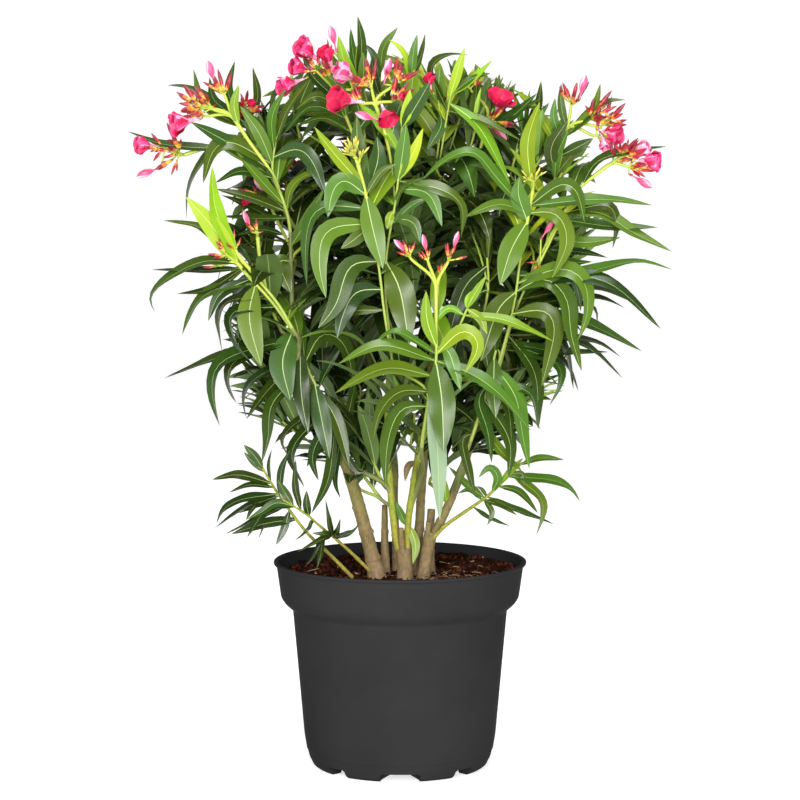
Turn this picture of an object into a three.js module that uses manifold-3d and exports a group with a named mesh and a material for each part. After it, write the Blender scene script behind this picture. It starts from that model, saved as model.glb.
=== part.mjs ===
// A flowering oleander in a round nursery pot. Millimetres, +Z up, +X to the right, -Y towards the viewer.
// The origin is the middle of the pot's flat underside. Several stems rise from one root out of the potting
// soil, some of them pruned back to stubs, and carry a wide crown that is built as separate leafy masses.
import * as THREE from 'three';
import { mergeVertices } from 'three/addons/utils/BufferGeometryUtils.js';
import Module from 'manifold-3d';

const wasm = await Module();
wasm.setup();

// ---- driving dimensions ----
const POT_HEIGHT = 230;
const RIM_RADIUS = 140;          // outside of the rolled lip
const LIP_WIDTH = 3;
const LIP_HEIGHT = 4;
const COLLAR_HEIGHT = 42;        // the wide band under the lip
const COLLAR_INSET = 8;          // the band's foot, in from the lip
const SHOULDER_HEIGHT = 12;      // slope from the band in to the body
const SHOULDER_INSET = 12;       // where that slope starts, in from the lip
const BEND = 3;                  // how far the wall's bends reach above and below the band's foot
const BODY_TOP_RADIUS = 119;
const BODY_FOOT_RADIUS = 106.5;
const BODY_FOOT_HEIGHT = 36;
const FOOT_RADIUS = 93;
const FOOT_CURVE = [[5, 4], [8, 11], [10, 20]];   // the rounded foot: out from the foot ring, and up
const FLOOR_CORNER = 4;          // the floor's inner corner, out from the foot ring
const WALL = 2.2;
const FLOOR_UNDERSIDE = 10.5;    // the pot's floor is raised on its foot ring and hub
const FOOT_RING_WIDTH = 14;
const HUB_RADIUS = 20;
const NOTCHES = 8;               // drainage notches round the foot ring, alternately wide and narrow
const WIDE_NOTCH = 43;
const NARROW_NOTCH = 26;
const NOTCH_DEPTH = 44;          // how far a notch's cutter reaches through the foot ring, in all
const NOTCH_ROOF = 0.5;          // from a notch up to the underside of the floor
const POT_SIDES = 36;

const SOIL_LEVEL = 212;          // flat where the stems stand
const SOIL_FLAT_RADIUS = 62;
const SOIL_BANK = 7;             // how far the soil rises at its highest side
const BANK_TURN = 0.6;           // turns that side, in radians, to the back right
const CLOD_HEIGHT = 1.2;
const CLOD_WAVES = [0.09, 0.11]; // clods for each millimetre across and back, in radians
const SOIL_RINGS = [0.7, 0.86];  // rings of corners between the flat part and the edge, as shares of the edge
const SOIL_SIDES = 24;

const GAP = 0.4;                 // between solids that touch
const SOIL_CLEARANCE = 0.9;      // from the pot's wall, as the soil has fewer sides than the pot
const MERGE = 1e-3;              // corners nearer than this are one corner
const LIMB_SIDES = 7;
const LIMB_STEP = 30;            // length of one ring of a limb
const FLARE_LENGTH = 14;         // a root flare dies away over this length
const MASS_DETAIL = 2;           // subdivisions of each leafy mass
const UNEVEN = 0.12;             // how lumpy a leafy mass is, as a share of its size
const HORN = 26;                 // how narrow the horns are that reach to the tips of a mass

// ---- materials ----
const material = (color, roughness) => new THREE.MeshStandardMaterial({ color, roughness, metalness: 0 });
const BLACK_PLASTIC = material(0x2b2c2d, 0.45);
const PEAT = material(0x4a2418, 0.95);
const BARK = material(0xa08560, 0.8);
const GREEN_STEM = material(0x8a9440, 0.6);
const LEAVES = material(0x3f7020, 0.45);
const BLOSSOM = material(0xc01f45, 0.5);

// ---- from three.js geometry to solids and back ----
const toSolid = (geometry) => {
  const bare = new THREE.BufferGeometry().setAttribute('position', geometry.getAttribute('position'));
  bare.setIndex(geometry.index);
  const merged = mergeVertices(bare, MERGE);
  const solidOf = (triVerts) => new wasm.Manifold(new wasm.Mesh({
    numProp: 3,
    vertProperties: merged.attributes.position.array,
    triVerts: new Uint32Array(triVerts),
  }));
  const solid = solidOf(merged.index.array);
  return solid.volume() > 0 ? solid : solidOf([...merged.index.array].reverse());
};

const toMesh = (name, solid, look) => {
  const { vertProperties, triVerts } = solid.getMesh();
  const geometry = new THREE.BufferGeometry();
  geometry.setAttribute('position', new THREE.BufferAttribute(new Float32Array(vertProperties), 3));
  geometry.setIndex(new THREE.BufferAttribute(new Uint32Array(triVerts), 1));
  const flat = geometry.toNonIndexed();
  flat.computeVertexNormals();
  const mesh = new THREE.Mesh(flat, look);
  mesh.name = name;
  return mesh;
};

const lowestZ = (solid) => solid.boundingBox().min[2];
const lowestBody = (solid) => solid.decompose().reduce((a, b) => (lowestZ(b) < lowestZ(a) ? b : a));
const largestBody = (solid) => solid.decompose().reduce((a, b) => (b.volume() > a.volume() ? b : a));

// A profile of [radius, height] points, turned about Z.
const turned = (profile, sides) => {
  const points = profile.map(([radius, height]) => new THREE.Vector2(radius, height));
  return new THREE.LatheGeometry(points, sides).rotateX(Math.PI / 2);
};

// ---- the pot ----
const collarBottom = POT_HEIGHT - COLLAR_HEIGHT;
const shoulderBottom = collarBottom - SHOULDER_HEIGHT;
const floorTop = FLOOR_UNDERSIDE + WALL;
const [chamferOut, chamferHeight] = FOOT_CURVE.at(-1);

const potInside = [
  [RIM_RADIUS - LIP_WIDTH - WALL, POT_HEIGHT],
  [RIM_RADIUS - COLLAR_INSET - WALL, collarBottom + BEND],
  [RIM_RADIUS - SHOULDER_INSET - WALL, collarBottom - BEND],
  [BODY_TOP_RADIUS - WALL, shoulderBottom],
  [BODY_FOOT_RADIUS - WALL, BODY_FOOT_HEIGHT],
  [FOOT_RADIUS + chamferOut - WALL, chamferHeight],
  [FOOT_RADIUS + FLOOR_CORNER, floorTop],
];

const potShell = () => toSolid(turned([
  [0, 0],
  [HUB_RADIUS, 0],
  [HUB_RADIUS, FLOOR_UNDERSIDE],
  [FOOT_RADIUS - FOOT_RING_WIDTH, FLOOR_UNDERSIDE],
  [FOOT_RADIUS - FOOT_RING_WIDTH, 0],
  [FOOT_RADIUS, 0],
  ...FOOT_CURVE.map(([out, up]) => [FOOT_RADIUS + out, up]),
  [BODY_FOOT_RADIUS, BODY_FOOT_HEIGHT],
  [BODY_TOP_RADIUS, shoulderBottom],
  [RIM_RADIUS - SHOULDER_INSET, collarBottom - BEND - 1],
  [RIM_RADIUS - COLLAR_INSET, collarBottom + BEND - 1],
  [RIM_RADIUS - LIP_WIDTH, POT_HEIGHT - LIP_HEIGHT],
  [RIM_RADIUS, POT_HEIGHT - LIP_HEIGHT + 1],
  [RIM_RADIUS, POT_HEIGHT - 1],
  [RIM_RADIUS - 1, POT_HEIGHT],
  ...potInside,
  [0, floorTop],
], POT_SIDES));

// One drainage notch: a block that runs out through the foot ring at this angle from the front.
const notch = (turn, width) => {
  const block = new THREE.BoxGeometry(width, NOTCH_DEPTH, 2 * (FLOOR_UNDERSIDE - NOTCH_ROOF));
  block.translate(0, -FOOT_RADIUS, 0).rotateZ(turn);
  return toSolid(block);
};

const pot = () => {
  let solid = potShell();
  for (let i = 0; i < NOTCHES; i += 1) {
    solid = solid.subtract(notch((i * 2 * Math.PI) / NOTCHES, i % 2 ? NARROW_NOTCH : WIDE_NOTCH));
  }
  return solid;
};

// ---- the potting soil, which fills the pot to a little under its rim ----
const soilHeight = (x, y) => {
  const beyond = Math.max(0, Math.hypot(x, y) - SOIL_FLAT_RADIUS) / SOIL_FLAT_RADIUS;
  const bank = SOIL_BANK * Math.min(1, beyond) * (1 + Math.sin(Math.atan2(y, x) + BANK_TURN)) / 2;
  const [wavesAcross, wavesBack] = CLOD_WAVES;
  const clods = Math.min(1, 3 * beyond) * CLOD_HEIGHT * Math.sin(wavesAcross * x + 1) * Math.cos(wavesBack * y);
  return SOIL_LEVEL + bank + clods;
};

const soil = () => {
  const side = potInside.slice(1).map(([radius, height]) => [radius - SOIL_CLEARANCE, height + GAP]);
  const edge = side[0][0];
  const radii = [SOIL_FLAT_RADIUS, ...SOIL_RINGS.map((share) => share * edge), edge];
  const rings = radii.map((radius) => [radius, SOIL_LEVEL]);
  const geometry = turned([[0, SOIL_LEVEL], ...rings, ...side, [0, floorTop + GAP]], SOIL_SIDES);
  const place = geometry.getAttribute('position');
  for (let i = 0; i < place.count; i += 1) {
    if (place.getZ(i) === SOIL_LEVEL) place.setZ(i, soilHeight(place.getX(i), place.getY(i)));
  }
  return toSolid(geometry);
};

// ---- stems and boughs ----
// Each limb follows a smooth curve through its points. Its radius goes evenly from the first figure to the
// second, and the flare widens its foot. grow fattens it all round, for cutting its neighbours clear of it.
const limb = ({ through, radii: [from, to], flare = 0, flatFoot = false }, grow = 0) => {
  const path = new THREE.CatmullRomCurve3(through.map((p) => new THREE.Vector3(...p)), false, 'centripetal');
  const length = path.getLength();
  const steps = Math.max(2, Math.round(length / LIMB_STEP));
  const tube = new THREE.CylinderGeometry(1, 1, 1, LIMB_SIDES, steps);
  const place = tube.getAttribute('position');
  const upright = new THREE.Vector3(0, 0, 1);
  for (let i = 0; i < place.count; i += 1) {
    const along = place.getY(i) + 0.5;
    const centre = path.getPointAt(along);
    const turn = new THREE.Quaternion().setFromUnitVectors(upright, path.getTangentAt(along));
    const radius = from + (to - from) * along + flare * Math.exp((-along * length) / FLARE_LENGTH) + grow;
    const spot = new THREE.Vector3(place.getX(i) * radius, -place.getZ(i) * radius, 0);
    if (!(flatFoot && along === 0)) spot.applyQuaternion(turn);
    spot.add(centre);
    place.setXYZ(i, spot.x, spot.y, spot.z);
  }
  return toSolid(tube);
};

const ground = SOIL_LEVEL + GAP;
const onSoil = (x, y) => [x, y, ground];

const LIMBS = {
  stem_left: {
    through: [onSoil(-25, -18), [-38, -20, 266], [-58, -24, 336], [-84, -28, 400], [-120, -30, 450]],
    radii: [8.2, 4.4], flare: 3, flatFoot: true, look: BARK,
  },
  trunk_centre: {
    through: [onSoil(6, -22), [5, -22, 230], [4, -21, 246]],
    radii: [7.6, 8.6], flare: 2, flatFoot: true, look: BARK,
  },
  stem_right: {
    through: [onSoil(26, -18), [29, -18, 236], [34, -18, 264]],
    radii: [5.4, 7.6], flare: 2.6, flatFoot: true, look: BARK,
  },
  stem_back: {
    through: [onSoil(15, 6), [21, 10, 260], [25, 16, 320], [34, 40, 390], [60, 90, 470]],
    radii: [5.4, 3.6], flare: 2, flatFoot: true, look: BARK,
  },
  stem_back_left: {
    through: [onSoil(-4, 30), [-6, 32, 290], [-8, 42, 350], [-36, 90, 450]],
    radii: [4.2, 3], flare: 1.4, flatFoot: true, look: BARK,
  },
  bough_centre_left: {
    through: [[-1, -21, 243], [-6, -20, 268], [-11, -18, 320], [-14, -12, 380], [-8, 0, 520]],
    radii: [4, 3.2], look: GREEN_STEM,
  },
  bough_centre_right: {
    through: [[8.5, -20, 243], [9, -20, 276], [18, -30, 340], [28, -60, 410], [36, -100, 480]],
    radii: [3.8, 3.2], look: GREEN_STEM,
  },
  bough_right: {
    through: [[37, -16, 261], [50, -14, 286], [72, -12, 342], [86, -8, 392], [120, 0, 450]],
    radii: [5, 4], look: BARK,
  },
  stub_centre: { through: [[3, -26.5, 243], [1.5, -28, 258], [1, -28, 270]], radii: [3.6, 3], look: BARK },
  stub_right: { through: [[31, -21, 261], [31, -22, 268], [31.5, -22.5, 276]], radii: [3.4, 2.8], look: BARK },
  stub_back_left: {
    through: [onSoil(-16, 10), [-17, 10, 250], [-17, 11, 290]],
    radii: [5, 3.2], flare: 1, flatFoot: true, look: BARK,
  },
  stub_back_right: {
    through: [onSoil(34, 18), [33, 20, 250], [35, 21, 284]],
    radii: [5, 4.4], flare: 1, flatFoot: true, look: BARK,
  },
  side_shoot_right: {
    through: [[37, -22, 258], [52, -26, 274], [93, -34, 304], [114, -38, 324], [134, -40, 344]],
    radii: [2.2, 1.6], look: GREEN_STEM,
  },
  side_shoot_left_low: {
    through: [onSoil(-50, -26), [-76, -32, 240], [-103, -42, 268], [-127, -50, 302], [-140, -50, 322],
      [-157, -50, 352]],
    radii: [2.2, 1.6], flatFoot: true, look: GREEN_STEM,
  },
  side_shoot_left_high: {
    through: [[-33, -27, 222], [-60, -38, 250], [-89, -58, 278], [-102, -68, 291], [-127, -80, 309]],
    radii: [2, 1.5], look: GREEN_STEM,
  },
};

// ---- the leafy masses ----
// Each is a lump of this half size about this centre, drawn out to horns that end at its tips, where its
// longest leaves do. Those listed first keep their whole shape, and each later one is cut clear of them.
const MASSES = {
  flowers_far_left: {
    centre: [-262, -34, 676], half: [34, 32, 26], look: BLOSSOM,
    tips: [[-298, -44, 684], [-280, -40, 647]],
  },
  flowers_far_right: {
    centre: [252, -42, 668], half: [34, 34, 28], look: BLOSSOM,
    tips: [[290, -52, 666], [274, -40, 636], [262, -36, 700]],
  },
  foliage_low_spray_left: {
    centre: [-146, -54, 304], half: [44, 42, 40],
    tips: [[-204, -62, 274], [-168, -44, 358], [-202, -30, 322], [-150, -96, 258], [-184, -40, 262]],
  },
  foliage_low_spray_near: {
    centre: [-84, -84, 268], half: [46, 34, 28],
    tips: [[-40, -104, 298], [-104, -120, 236]],
  },
  foliage_low_spray_right: {
    centre: [126, -42, 314], half: [42, 40, 30],
    tips: [[196, -46, 300], [152, -60, 258], [176, -20, 346], [128, -70, 262]],
  },
  foliage_top_centre: {
    centre: [-40, -6, 738], half: [94, 94, 60],
    tips: [[-46, -10, 826], [-9, 20, 812], [34, -30, 810], [-100, -30, 800], [-128, 10, 772]],
  },
  foliage_top_left: {
    centre: [-172, -22, 670], half: [78, 96, 86],
    tips: [[-206, -24, 772], [-158, 20, 768], [-236, -40, 758], [-244, -50, 708]],
  },
  foliage_top_right: {
    centre: [90, 8, 700], half: [78, 98, 86],
    tips: [[71, 10, 796], [100, -40, 782], [147, 30, 752], [40, 10, 792]],
  },
  foliage_top_far_right: {
    centre: [190, -18, 666], half: [62, 86, 64],
    tips: [[198, -16, 762], [244, -30, 738], [156, 30, 744], [224, 0, 748]],
  },
  foliage_top_front: {
    centre: [4, -150, 656], half: [84, 72, 68],
    tips: [[-40, -250, 640], [52, -246, 668]],
  },
  foliage_top_back: {
    centre: [8, 150, 684], half: [126, 84, 72],
    tips: [[-80, 236, 716], [60, 250, 690], [120, 190, 732]],
  },
  foliage_middle_left: {
    centre: [-164, -32, 564], half: [74, 94, 80],
    tips: [[-278, -40, 508], [-274, -10, 558], [-243, -70, 486], [-233, -40, 634]],
  },
  foliage_middle_right: {
    centre: [176, -12, 566], half: [78, 98, 84],
    tips: [[297, -20, 574], [284, 10, 490], [264, -60, 468], [262, 10, 632]],
  },
  foliage_front_left: {
    centre: [-74, -166, 574], half: [72, 74, 82],
    tips: [[-110, -262, 520], [-40, -258, 560]],
  },
  foliage_front_right: {
    centre: [74, -164, 568], half: [76, 74, 82],
    tips: [[40, -260, 600], [112, -256, 510]],
  },
  foliage_back_left: {
    centre: [-100, 156, 568], half: [98, 86, 84],
    tips: [[-150, 246, 520], [-60, 262, 580]],
  },
  foliage_back_right: {
    centre: [104, 160, 566], half: [98, 84, 84],
    tips: [[150, 248, 600], [70, 264, 530]],
  },
  foliage_low_left: {
    centre: [-136, -20, 430], half: [68, 90, 84],
    tips: [[-250, -36, 444], [-198, -60, 364], [-160, 30, 330], [-112, -60, 296]],
  },
  foliage_low_right: {
    centre: [144, -8, 446], half: [68, 94, 84],
    tips: [[234, -14, 440], [164, -70, 372], [138, 30, 334]],
  },
  foliage_low_front: {
    centre: [20, -122, 422], half: [86, 76, 76],
    tips: [[41, -88, 298], [-40, -150, 332], [80, -190, 390], [-60, -200, 400]],
  },
  foliage_low_centre_left: {
    centre: [-66, -6, 356], half: [60, 68, 46],
    tips: [[-96, -30, 290], [-34, -40, 300], [-60, 40, 306]],
  },
  foliage_low_centre_right: {
    centre: [80, 10, 364], half: [58, 66, 50],
    tips: [[66, -30, 304], [104, 30, 316]],
  },
  foliage_low_back_left: {
    centre: [-80, 136, 436], half: [86, 80, 74],
    tips: [[-120, 220, 390], [-60, 160, 330]],
  },
  foliage_low_back_right: {
    centre: [86, 140, 438], half: [86, 80, 74],
    tips: [[130, 214, 400], [60, 170, 332]],
  },
  foliage_core: { centre: [-4, -4, 580], half: [146, 114, 138], tips: [] },
};

// A gently lumpy reach, 1 at most, for the direction x, y, z of a mass; each seed has its own lumps.
const unevenness = (x, y, z, seed) => 1
  - UNEVEN * (1 + Math.sin(4.1 * x + 2.3 * seed) * Math.cos(3.7 * y - 1.7 * seed)) / 2
  - UNEVEN * (1 + Math.sin(5.3 * z + 1.1 * seed + 2 * x)) / 2;

const lump = ({ centre, half, tips }, seed, grow = 0) => {
  const ball = new THREE.IcosahedronGeometry(1, MASS_DETAIL);
  const place = ball.getAttribute('position');
  const middle = new THREE.Vector3(...centre);
  const corners = Array.from({ length: place.count }, (_, i) => new THREE.Vector3().fromBufferAttribute(place, i));
  const spots = corners.map((corner) => {
    const reach = unevenness(corner.x, corner.y, corner.z, seed);
    return new THREE.Vector3(...half).multiplyScalar(reach).addScalar(grow).multiply(corner).add(middle);
  });
  tips.forEach((tip) => {
    const end = new THREE.Vector3(...tip);
    const out = end.clone().sub(middle).normalize();
    end.addScaledVector(out, grow);
    const pulls = corners.map((corner) => Math.exp(-HORN * (1 - corner.dot(out))));
    const most = Math.max(...pulls);
    spots.forEach((spot, i) => spot.lerp(end, pulls[i] / most));
  });
  spots.forEach((spot, i) => place.setXYZ(i, spot.x, spot.y, spot.z));
  return toSolid(ball);
};

const subtractAll = (solid, cutters) => cutters.reduce((rest, cutter) => rest.subtract(cutter), solid);

const massMeshes = () => {
  const grown = [];
  return Object.entries(MASSES).map(([name, mass], seed) => {
    const solid = largestBody(subtractAll(lump(mass, seed), grown));
    grown.push(lump(mass, seed, GAP));
    return toMesh(name, solid, mass.look ?? LEAVES);
  });
};

const limbMeshes = () => {
  const cutters = Object.values(MASSES).map((mass, seed) => lump(mass, seed, GAP));
  return Object.entries(LIMBS).map(([name, shape]) => {
    const solid = lowestBody(subtractAll(limb(shape), cutters));
    cutters.push(limb(shape, GAP));
    return toMesh(name, solid, shape.look);
  });
};

const oleander = new THREE.Group();
oleander.add(toMesh('pot', pot(), BLACK_PLASTIC));
oleander.add(toMesh('soil', soil(), PEAT));
oleander.add(...limbMeshes());
oleander.add(...massMeshes());

export default oleander;
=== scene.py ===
import math

import bmesh
import bpy
import numpy as np
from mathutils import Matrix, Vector, noise


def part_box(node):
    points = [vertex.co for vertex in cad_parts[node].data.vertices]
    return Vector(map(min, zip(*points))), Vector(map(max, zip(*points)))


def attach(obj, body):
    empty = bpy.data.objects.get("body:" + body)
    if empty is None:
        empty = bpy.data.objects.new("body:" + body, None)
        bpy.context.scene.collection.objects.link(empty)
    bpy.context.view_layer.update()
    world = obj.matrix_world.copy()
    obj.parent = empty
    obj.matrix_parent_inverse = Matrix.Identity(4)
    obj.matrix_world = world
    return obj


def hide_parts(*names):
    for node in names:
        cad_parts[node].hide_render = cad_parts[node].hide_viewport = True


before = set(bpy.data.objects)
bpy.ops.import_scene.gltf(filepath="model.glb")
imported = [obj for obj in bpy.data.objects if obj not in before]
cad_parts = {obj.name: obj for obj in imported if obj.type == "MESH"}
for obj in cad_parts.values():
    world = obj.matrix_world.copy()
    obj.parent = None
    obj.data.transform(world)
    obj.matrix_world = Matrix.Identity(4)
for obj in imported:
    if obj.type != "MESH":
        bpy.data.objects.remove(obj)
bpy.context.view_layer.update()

MM = 0.001
SEED = 20
CREASE = math.radians(80)
GOLDEN_TURN = 2.4               # the turn from one of many spread parts to the next
UP = np.array([0.0, 0.0, 1.0])
DOWN = -UP
FRONT = np.array([0.0, -1.0, 0.0])
RIGHT = np.array([1.0, 0.0, 0.0])

# ---- the camera's place, from the ellipses of the pot's rim and foot ----
CAMERA_AWAY = 3400.0
CAMERA_HEIGHT = 764.0
CAMERA_PITCH = math.radians(5.97)
CAMERA_LENS = 139.4
SENSOR = 36.0
# The upright plane through the pot in the camera's 800 by 800 view: its middle, its top, and how many
# millimetres a step across and a step down are.
VIEW_MIDDLE = 400.0
VIEW_TOP = 851.2
VIEW_STEP = 1.1
VIEW_FALL = 1.107
VIEW_CELLS = 160
CLEARANCE = 9.0                 # how far a leaf that grows by rule keeps behind a placed one

# ---- the stage: lamps, and a round floor that curves up far from the plant on every side ----
# Each lamp's name, place and size in metres, and power in watts; all aim at one point.
LAMPS = [
    ("key", (-0.65, -2.9, 1.35), 0.9, 82),
    ("fill", (0.6, -3.0, 0.65), 0.9, 78),
    ("top", (0.3, -0.3, 2.6), 1.1, 56),
]
LAMP_AIM = (0, 0, 0.45)
ROOM_LIGHT = 0.25
FLOOR_RADIUS = 5200.0
SWEEP_RADIUS = 3300.0
SWEEP_STEPS = 12
FLOOR_SIDES = 64
FLOOR_GLOW = 0.68

# ---- the pot ----
POT_HEIGHT = 230.0
RIM_RADIUS = 140.0
RIM_LIP = 4.0                   # how far the rolled lip reaches down
LIP_WIDTH = 3.0
COLLAR_FOOT_RADIUS = 132.0
COLLAR_BOTTOM = 188.0
SHOULDER_RADIUS = 128.0
SHOULDER_BOTTOM = 176.0
BODY_TOP_RADIUS = 119.0
BODY_FOOT_RADIUS = 106.5
BODY_BOTTOM = 36.0
CHAMFER_RADIUS = 103.0
CHAMFER_HEIGHT = 20.0
FOOT_RADIUS = 93.0
FOOT_RING_WIDTH = 14.0
HUB_RADIUS = 20.0
FLOOR_UNDERSIDE = 10.5
WALL = 2.2
CORNER_ROUND = 2.5
NOTCHES = 8
WIDE_NOTCH = 43.0
NARROW_NOTCH = 26.0
NOTCH_BEVEL = 2.0
LUG_REACH = 13.0                # how far a lug curves into its notch
LUG_STEPS = 8
POT_SIDES = 160
POT_CREASE = math.radians(40)

# ---- the soil ----
SOIL_LEVEL = 212.0
SOIL_RADIUS = 131.0
SOIL_FLAT_RADIUS = 62.0
SOIL_BANK = 7.0
SOIL_FLOOR = 14.0
SOIL_RINGS = 60
SOIL_SIDES = 150
CRUMBS = 3600
FIBRES = 260

# ---- leaves ----
LEAF_ROWS = 10
PLACED_ROWS = 15
LEAF_THICKNESS = 0.35
RIB_HALF_WIDTH = 0.66           # at the foot of a leaf of the common width
COMMON_WIDTH = 26.0
WHORL = 3                       # leaves at each node of a shoot
# The columns of points each side of a leaf's strips of faces, from its left edge to its right. The strips
# below are split along the same diagonals as those above, so that neither side shows through the other.
UPPER_STRIPS = [(0, 1), (1, 2), (2, 3), (3, 4), (4, 5)]
UNDER_STRIPS = [(0, 6), (6, 7), (7, 8), (8, 9), (9, 5)]


# ==== small vector helpers ====

def unit(v):
    return v / np.maximum(np.linalg.norm(v, axis=-1, keepdims=True), 1e-9)


def vec(*xyz):
    return np.array(xyz, float)


EYE = vec(0, -CAMERA_AWAY, CAMERA_HEIGHT)


def view_place(right, down, depth):
    """The point at this depth that the camera sees here in its 800 by 800 view."""
    on_plane = vec((right - VIEW_MIDDLE) * VIEW_STEP, 0, VIEW_TOP - down * VIEW_FALL)
    return EYE + (on_plane - EYE) * (CAMERA_AWAY + depth) / CAMERA_AWAY


def smooth_path(points, step):
    """Points about a step apart on a smooth curve through the given ones."""
    points = np.array(points, float)
    padded = np.vstack([2 * points[0] - points[1], points, 2 * points[-1] - points[-2]])
    out = []
    for a, b, c, d in zip(padded, padded[1:], padded[2:], padded[3:]):
        count = max(2, int(np.linalg.norm(c - b) / step))
        for t in np.arange(count) / count:
            out.append(0.5 * (2 * b + (c - a) * t + (2 * a - 5 * b + 4 * c - d) * t**2
                              + (3 * b - a - 3 * c + d) * t**3))
    return np.array(out + [points[-1]])


def bezier(p0, p1, p2, p3, step):
    """Points about a step apart on the curve from p0 to p3 that p1 and p2 pull on."""
    count = max(3, int(np.linalg.norm(p3 - p0) / step))
    t = np.linspace(0, 1, count + 1)[:, None]
    return (1 - t)**3 * p0 + 3 * t * (1 - t)**2 * p1 + 3 * t * t * (1 - t) * p2 + t**3 * p3


def arc_lengths(path):
    return np.concatenate([[0], np.cumsum(np.linalg.norm(np.diff(path, axis=0), axis=1))])


def along(path, distance):
    """The place and direction at this distance from the start of a path."""
    reach = arc_lengths(path)
    place, ahead, behind = [np.array([np.interp(at, reach, path[:, k]) for k in range(3)])
                            for at in (distance, distance + 2, distance - 2)]
    return place, unit(ahead - behind)


def across(direction):
    """A unit vector square to this direction."""
    other = UP if abs(direction[2]) < 0.9 else RIGHT
    return unit(np.cross(direction, other))


def spokes(heading, turns):
    """The unit vectors square to a heading that these turns round it point to."""
    side = across(heading)
    other = np.cross(heading, side)
    turns = np.asarray(turns, float)[..., None]
    return side * np.cos(turns) + other * np.sin(turns)


def even_turns(count):
    return np.linspace(0, 2 * np.pi, count, endpoint=False)


# ==== making meshes ====

class Piece:
    """Gathers many small meshes, in millimetres, and makes them one object."""

    def __init__(self, name, *materials):
        self.name = name
        self.materials = list(materials)
        self.points = []
        self.faces = {3: [], 4: []}
        self.looks = {3: [], 4: []}
        self.count = 0

    def add(self, points, faces, look=0):
        """points (n, 3), faces (m, 3 or 4), and look, which names a material, one number or one a face."""
        points = np.asarray(points, float).reshape(-1, 3)
        self.points.append(points)
        self.count += len(points)
        self.again(faces, look)

    def again(self, faces, look=0):
        """More faces on the points that were added last."""
        faces = np.asarray(faces, int)
        corners = faces.shape[1]
        self.faces[corners].append(faces + self.count - len(self.points[-1]))
        self.looks[corners].append(np.broadcast_to(look, len(faces)))

    def make(self, smooth=True):
        mesh = bpy.data.meshes.new(self.name)
        points = np.concatenate(self.points) * MM
        kinds = [k for k in (3, 4) if self.faces[k]]
        faces = [np.concatenate(self.faces[k]) for k in kinds]
        looks = np.concatenate([np.concatenate(self.looks[k]) for k in kinds])
        corners = np.concatenate([f.ravel() for f in faces])
        sizes = np.concatenate([np.full(len(f), f.shape[1]) for f in faces])
        mesh.vertices.add(len(points))
        mesh.vertices.foreach_set("co", points.ravel())
        mesh.loops.add(len(corners))
        mesh.loops.foreach_set("vertex_index", corners)
        mesh.polygons.add(len(sizes))
        mesh.polygons.foreach_set("loop_start", np.concatenate([[0], np.cumsum(sizes)[:-1]]))
        mesh.polygons.foreach_set("loop_total", sizes)
        mesh.polygons.foreach_set("material_index", looks)
        for material in self.materials:
            mesh.materials.append(material)
        mesh.update(calc_edges=True)
        mesh.validate()
        if smooth:
            mesh.shade_smooth()
            mesh.set_sharp_from_angle(angle=CREASE)
        piece = bpy.data.objects.new(self.name, mesh)
        bpy.context.scene.collection.objects.link(piece)
        return piece


def grid_faces(rows, columns, closed=False):
    """The quads of a grid of points, row by row; a closed one joins its last column to its first."""
    i = np.arange(rows - 1)[:, None] * columns
    j = np.arange(columns if closed else columns - 1)[None, :]
    k = (j + 1) % columns
    return np.stack([i + j, i + k, i + columns + k, i + columns + j], -1).reshape(-1, 4)


def closed_skin(piece, rings, ends, look=0, end_look=0):
    """A skin over rings of points (rows, sides, 3), closed at each end by a fan of triangles to one point."""
    rows, sides = rings.shape[:2]
    piece.add(np.vstack([rings.reshape(-1, 3), ends]), grid_faces(rows, sides, closed=True), look)
    i = np.arange(sides)
    j = (i + 1) % sides
    last = (rows - 1) * sides
    start = np.stack([j, i, np.full(sides, rows * sides)], 1)
    end = np.stack([last + i, last + j, np.full(sides, rows * sides + 1)], 1)
    piece.again(np.vstack([start, end]), end_look)


def turned(piece, profile, sides):
    """A body of revolution about Z whose profile of (radius, height) starts and ends on the axis."""
    turn = even_turns(sides)
    ring = np.array([(r, z) for r, z in profile[1:-1]])
    points = np.stack([ring[:, :1] * np.cos(turn), ring[:, :1] * np.sin(turn),
                       np.broadcast_to(ring[:, 1:], (len(ring), sides))], -1)
    closed_skin(piece, points, [(0, 0, profile[0][1]), (0, 0, profile[-1][1])])


def rings_round(path, radii, sides):
    """Rings of points round a path, which don't spin about it; radii (rows,) or (rows, sides)."""
    ahead = unit(np.gradient(path, axis=0))
    side = across(ahead[0])
    rings = []
    for direction in ahead:
        side = unit(side - direction * side.dot(direction))
        rings.append(side)
    side = np.array(rings)[:, None]
    other = np.cross(ahead, side[:, 0])[:, None]
    turn = even_turns(sides)[None, :, None]
    radii = np.asarray(radii, float).reshape(len(path), -1, 1)
    return path[:, None] + (np.cos(turn) * side + np.sin(turn) * other) * radii


def tube(piece, path, radii, sides=7, look=0, end_look=None):
    """A round tube along a path, with its ends closed."""
    closed_skin(piece, rings_round(path, radii, sides), np.vstack([path[0], path[-1]]), look,
                look if end_look is None else end_look)


# ==== the shapes of leaves and petals ====

def leaf_outline(t):
    """Half width of an oleander leaf from its stalk, at 0, to its point, at 1, as a share of its widest."""
    blade = np.sin(np.pi * np.clip(t, 0, 1)**0.86)**0.82
    stalk = 0.1 * np.exp(-t * 14)
    return np.maximum(blade, 0) * np.clip(t * 9, 0, 1) + stalk + 0.012


def petal_outline(t):
    """Half width of a petal: narrow at its foot, widest near its blunt end."""
    return 0.2 + 0.8 * np.sin(np.pi * np.clip(t, 0, 1)**1.6 * 0.9 + 0.1)**0.7 * np.clip(t * 2.4, 0, 1)


def leaf_rib(t):
    """How far a leaf's rib stands out under it."""
    return np.interp(t, [0, 0.1, 0.9, 1], [0.5, 1.4, 0.6, 0.1])


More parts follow.
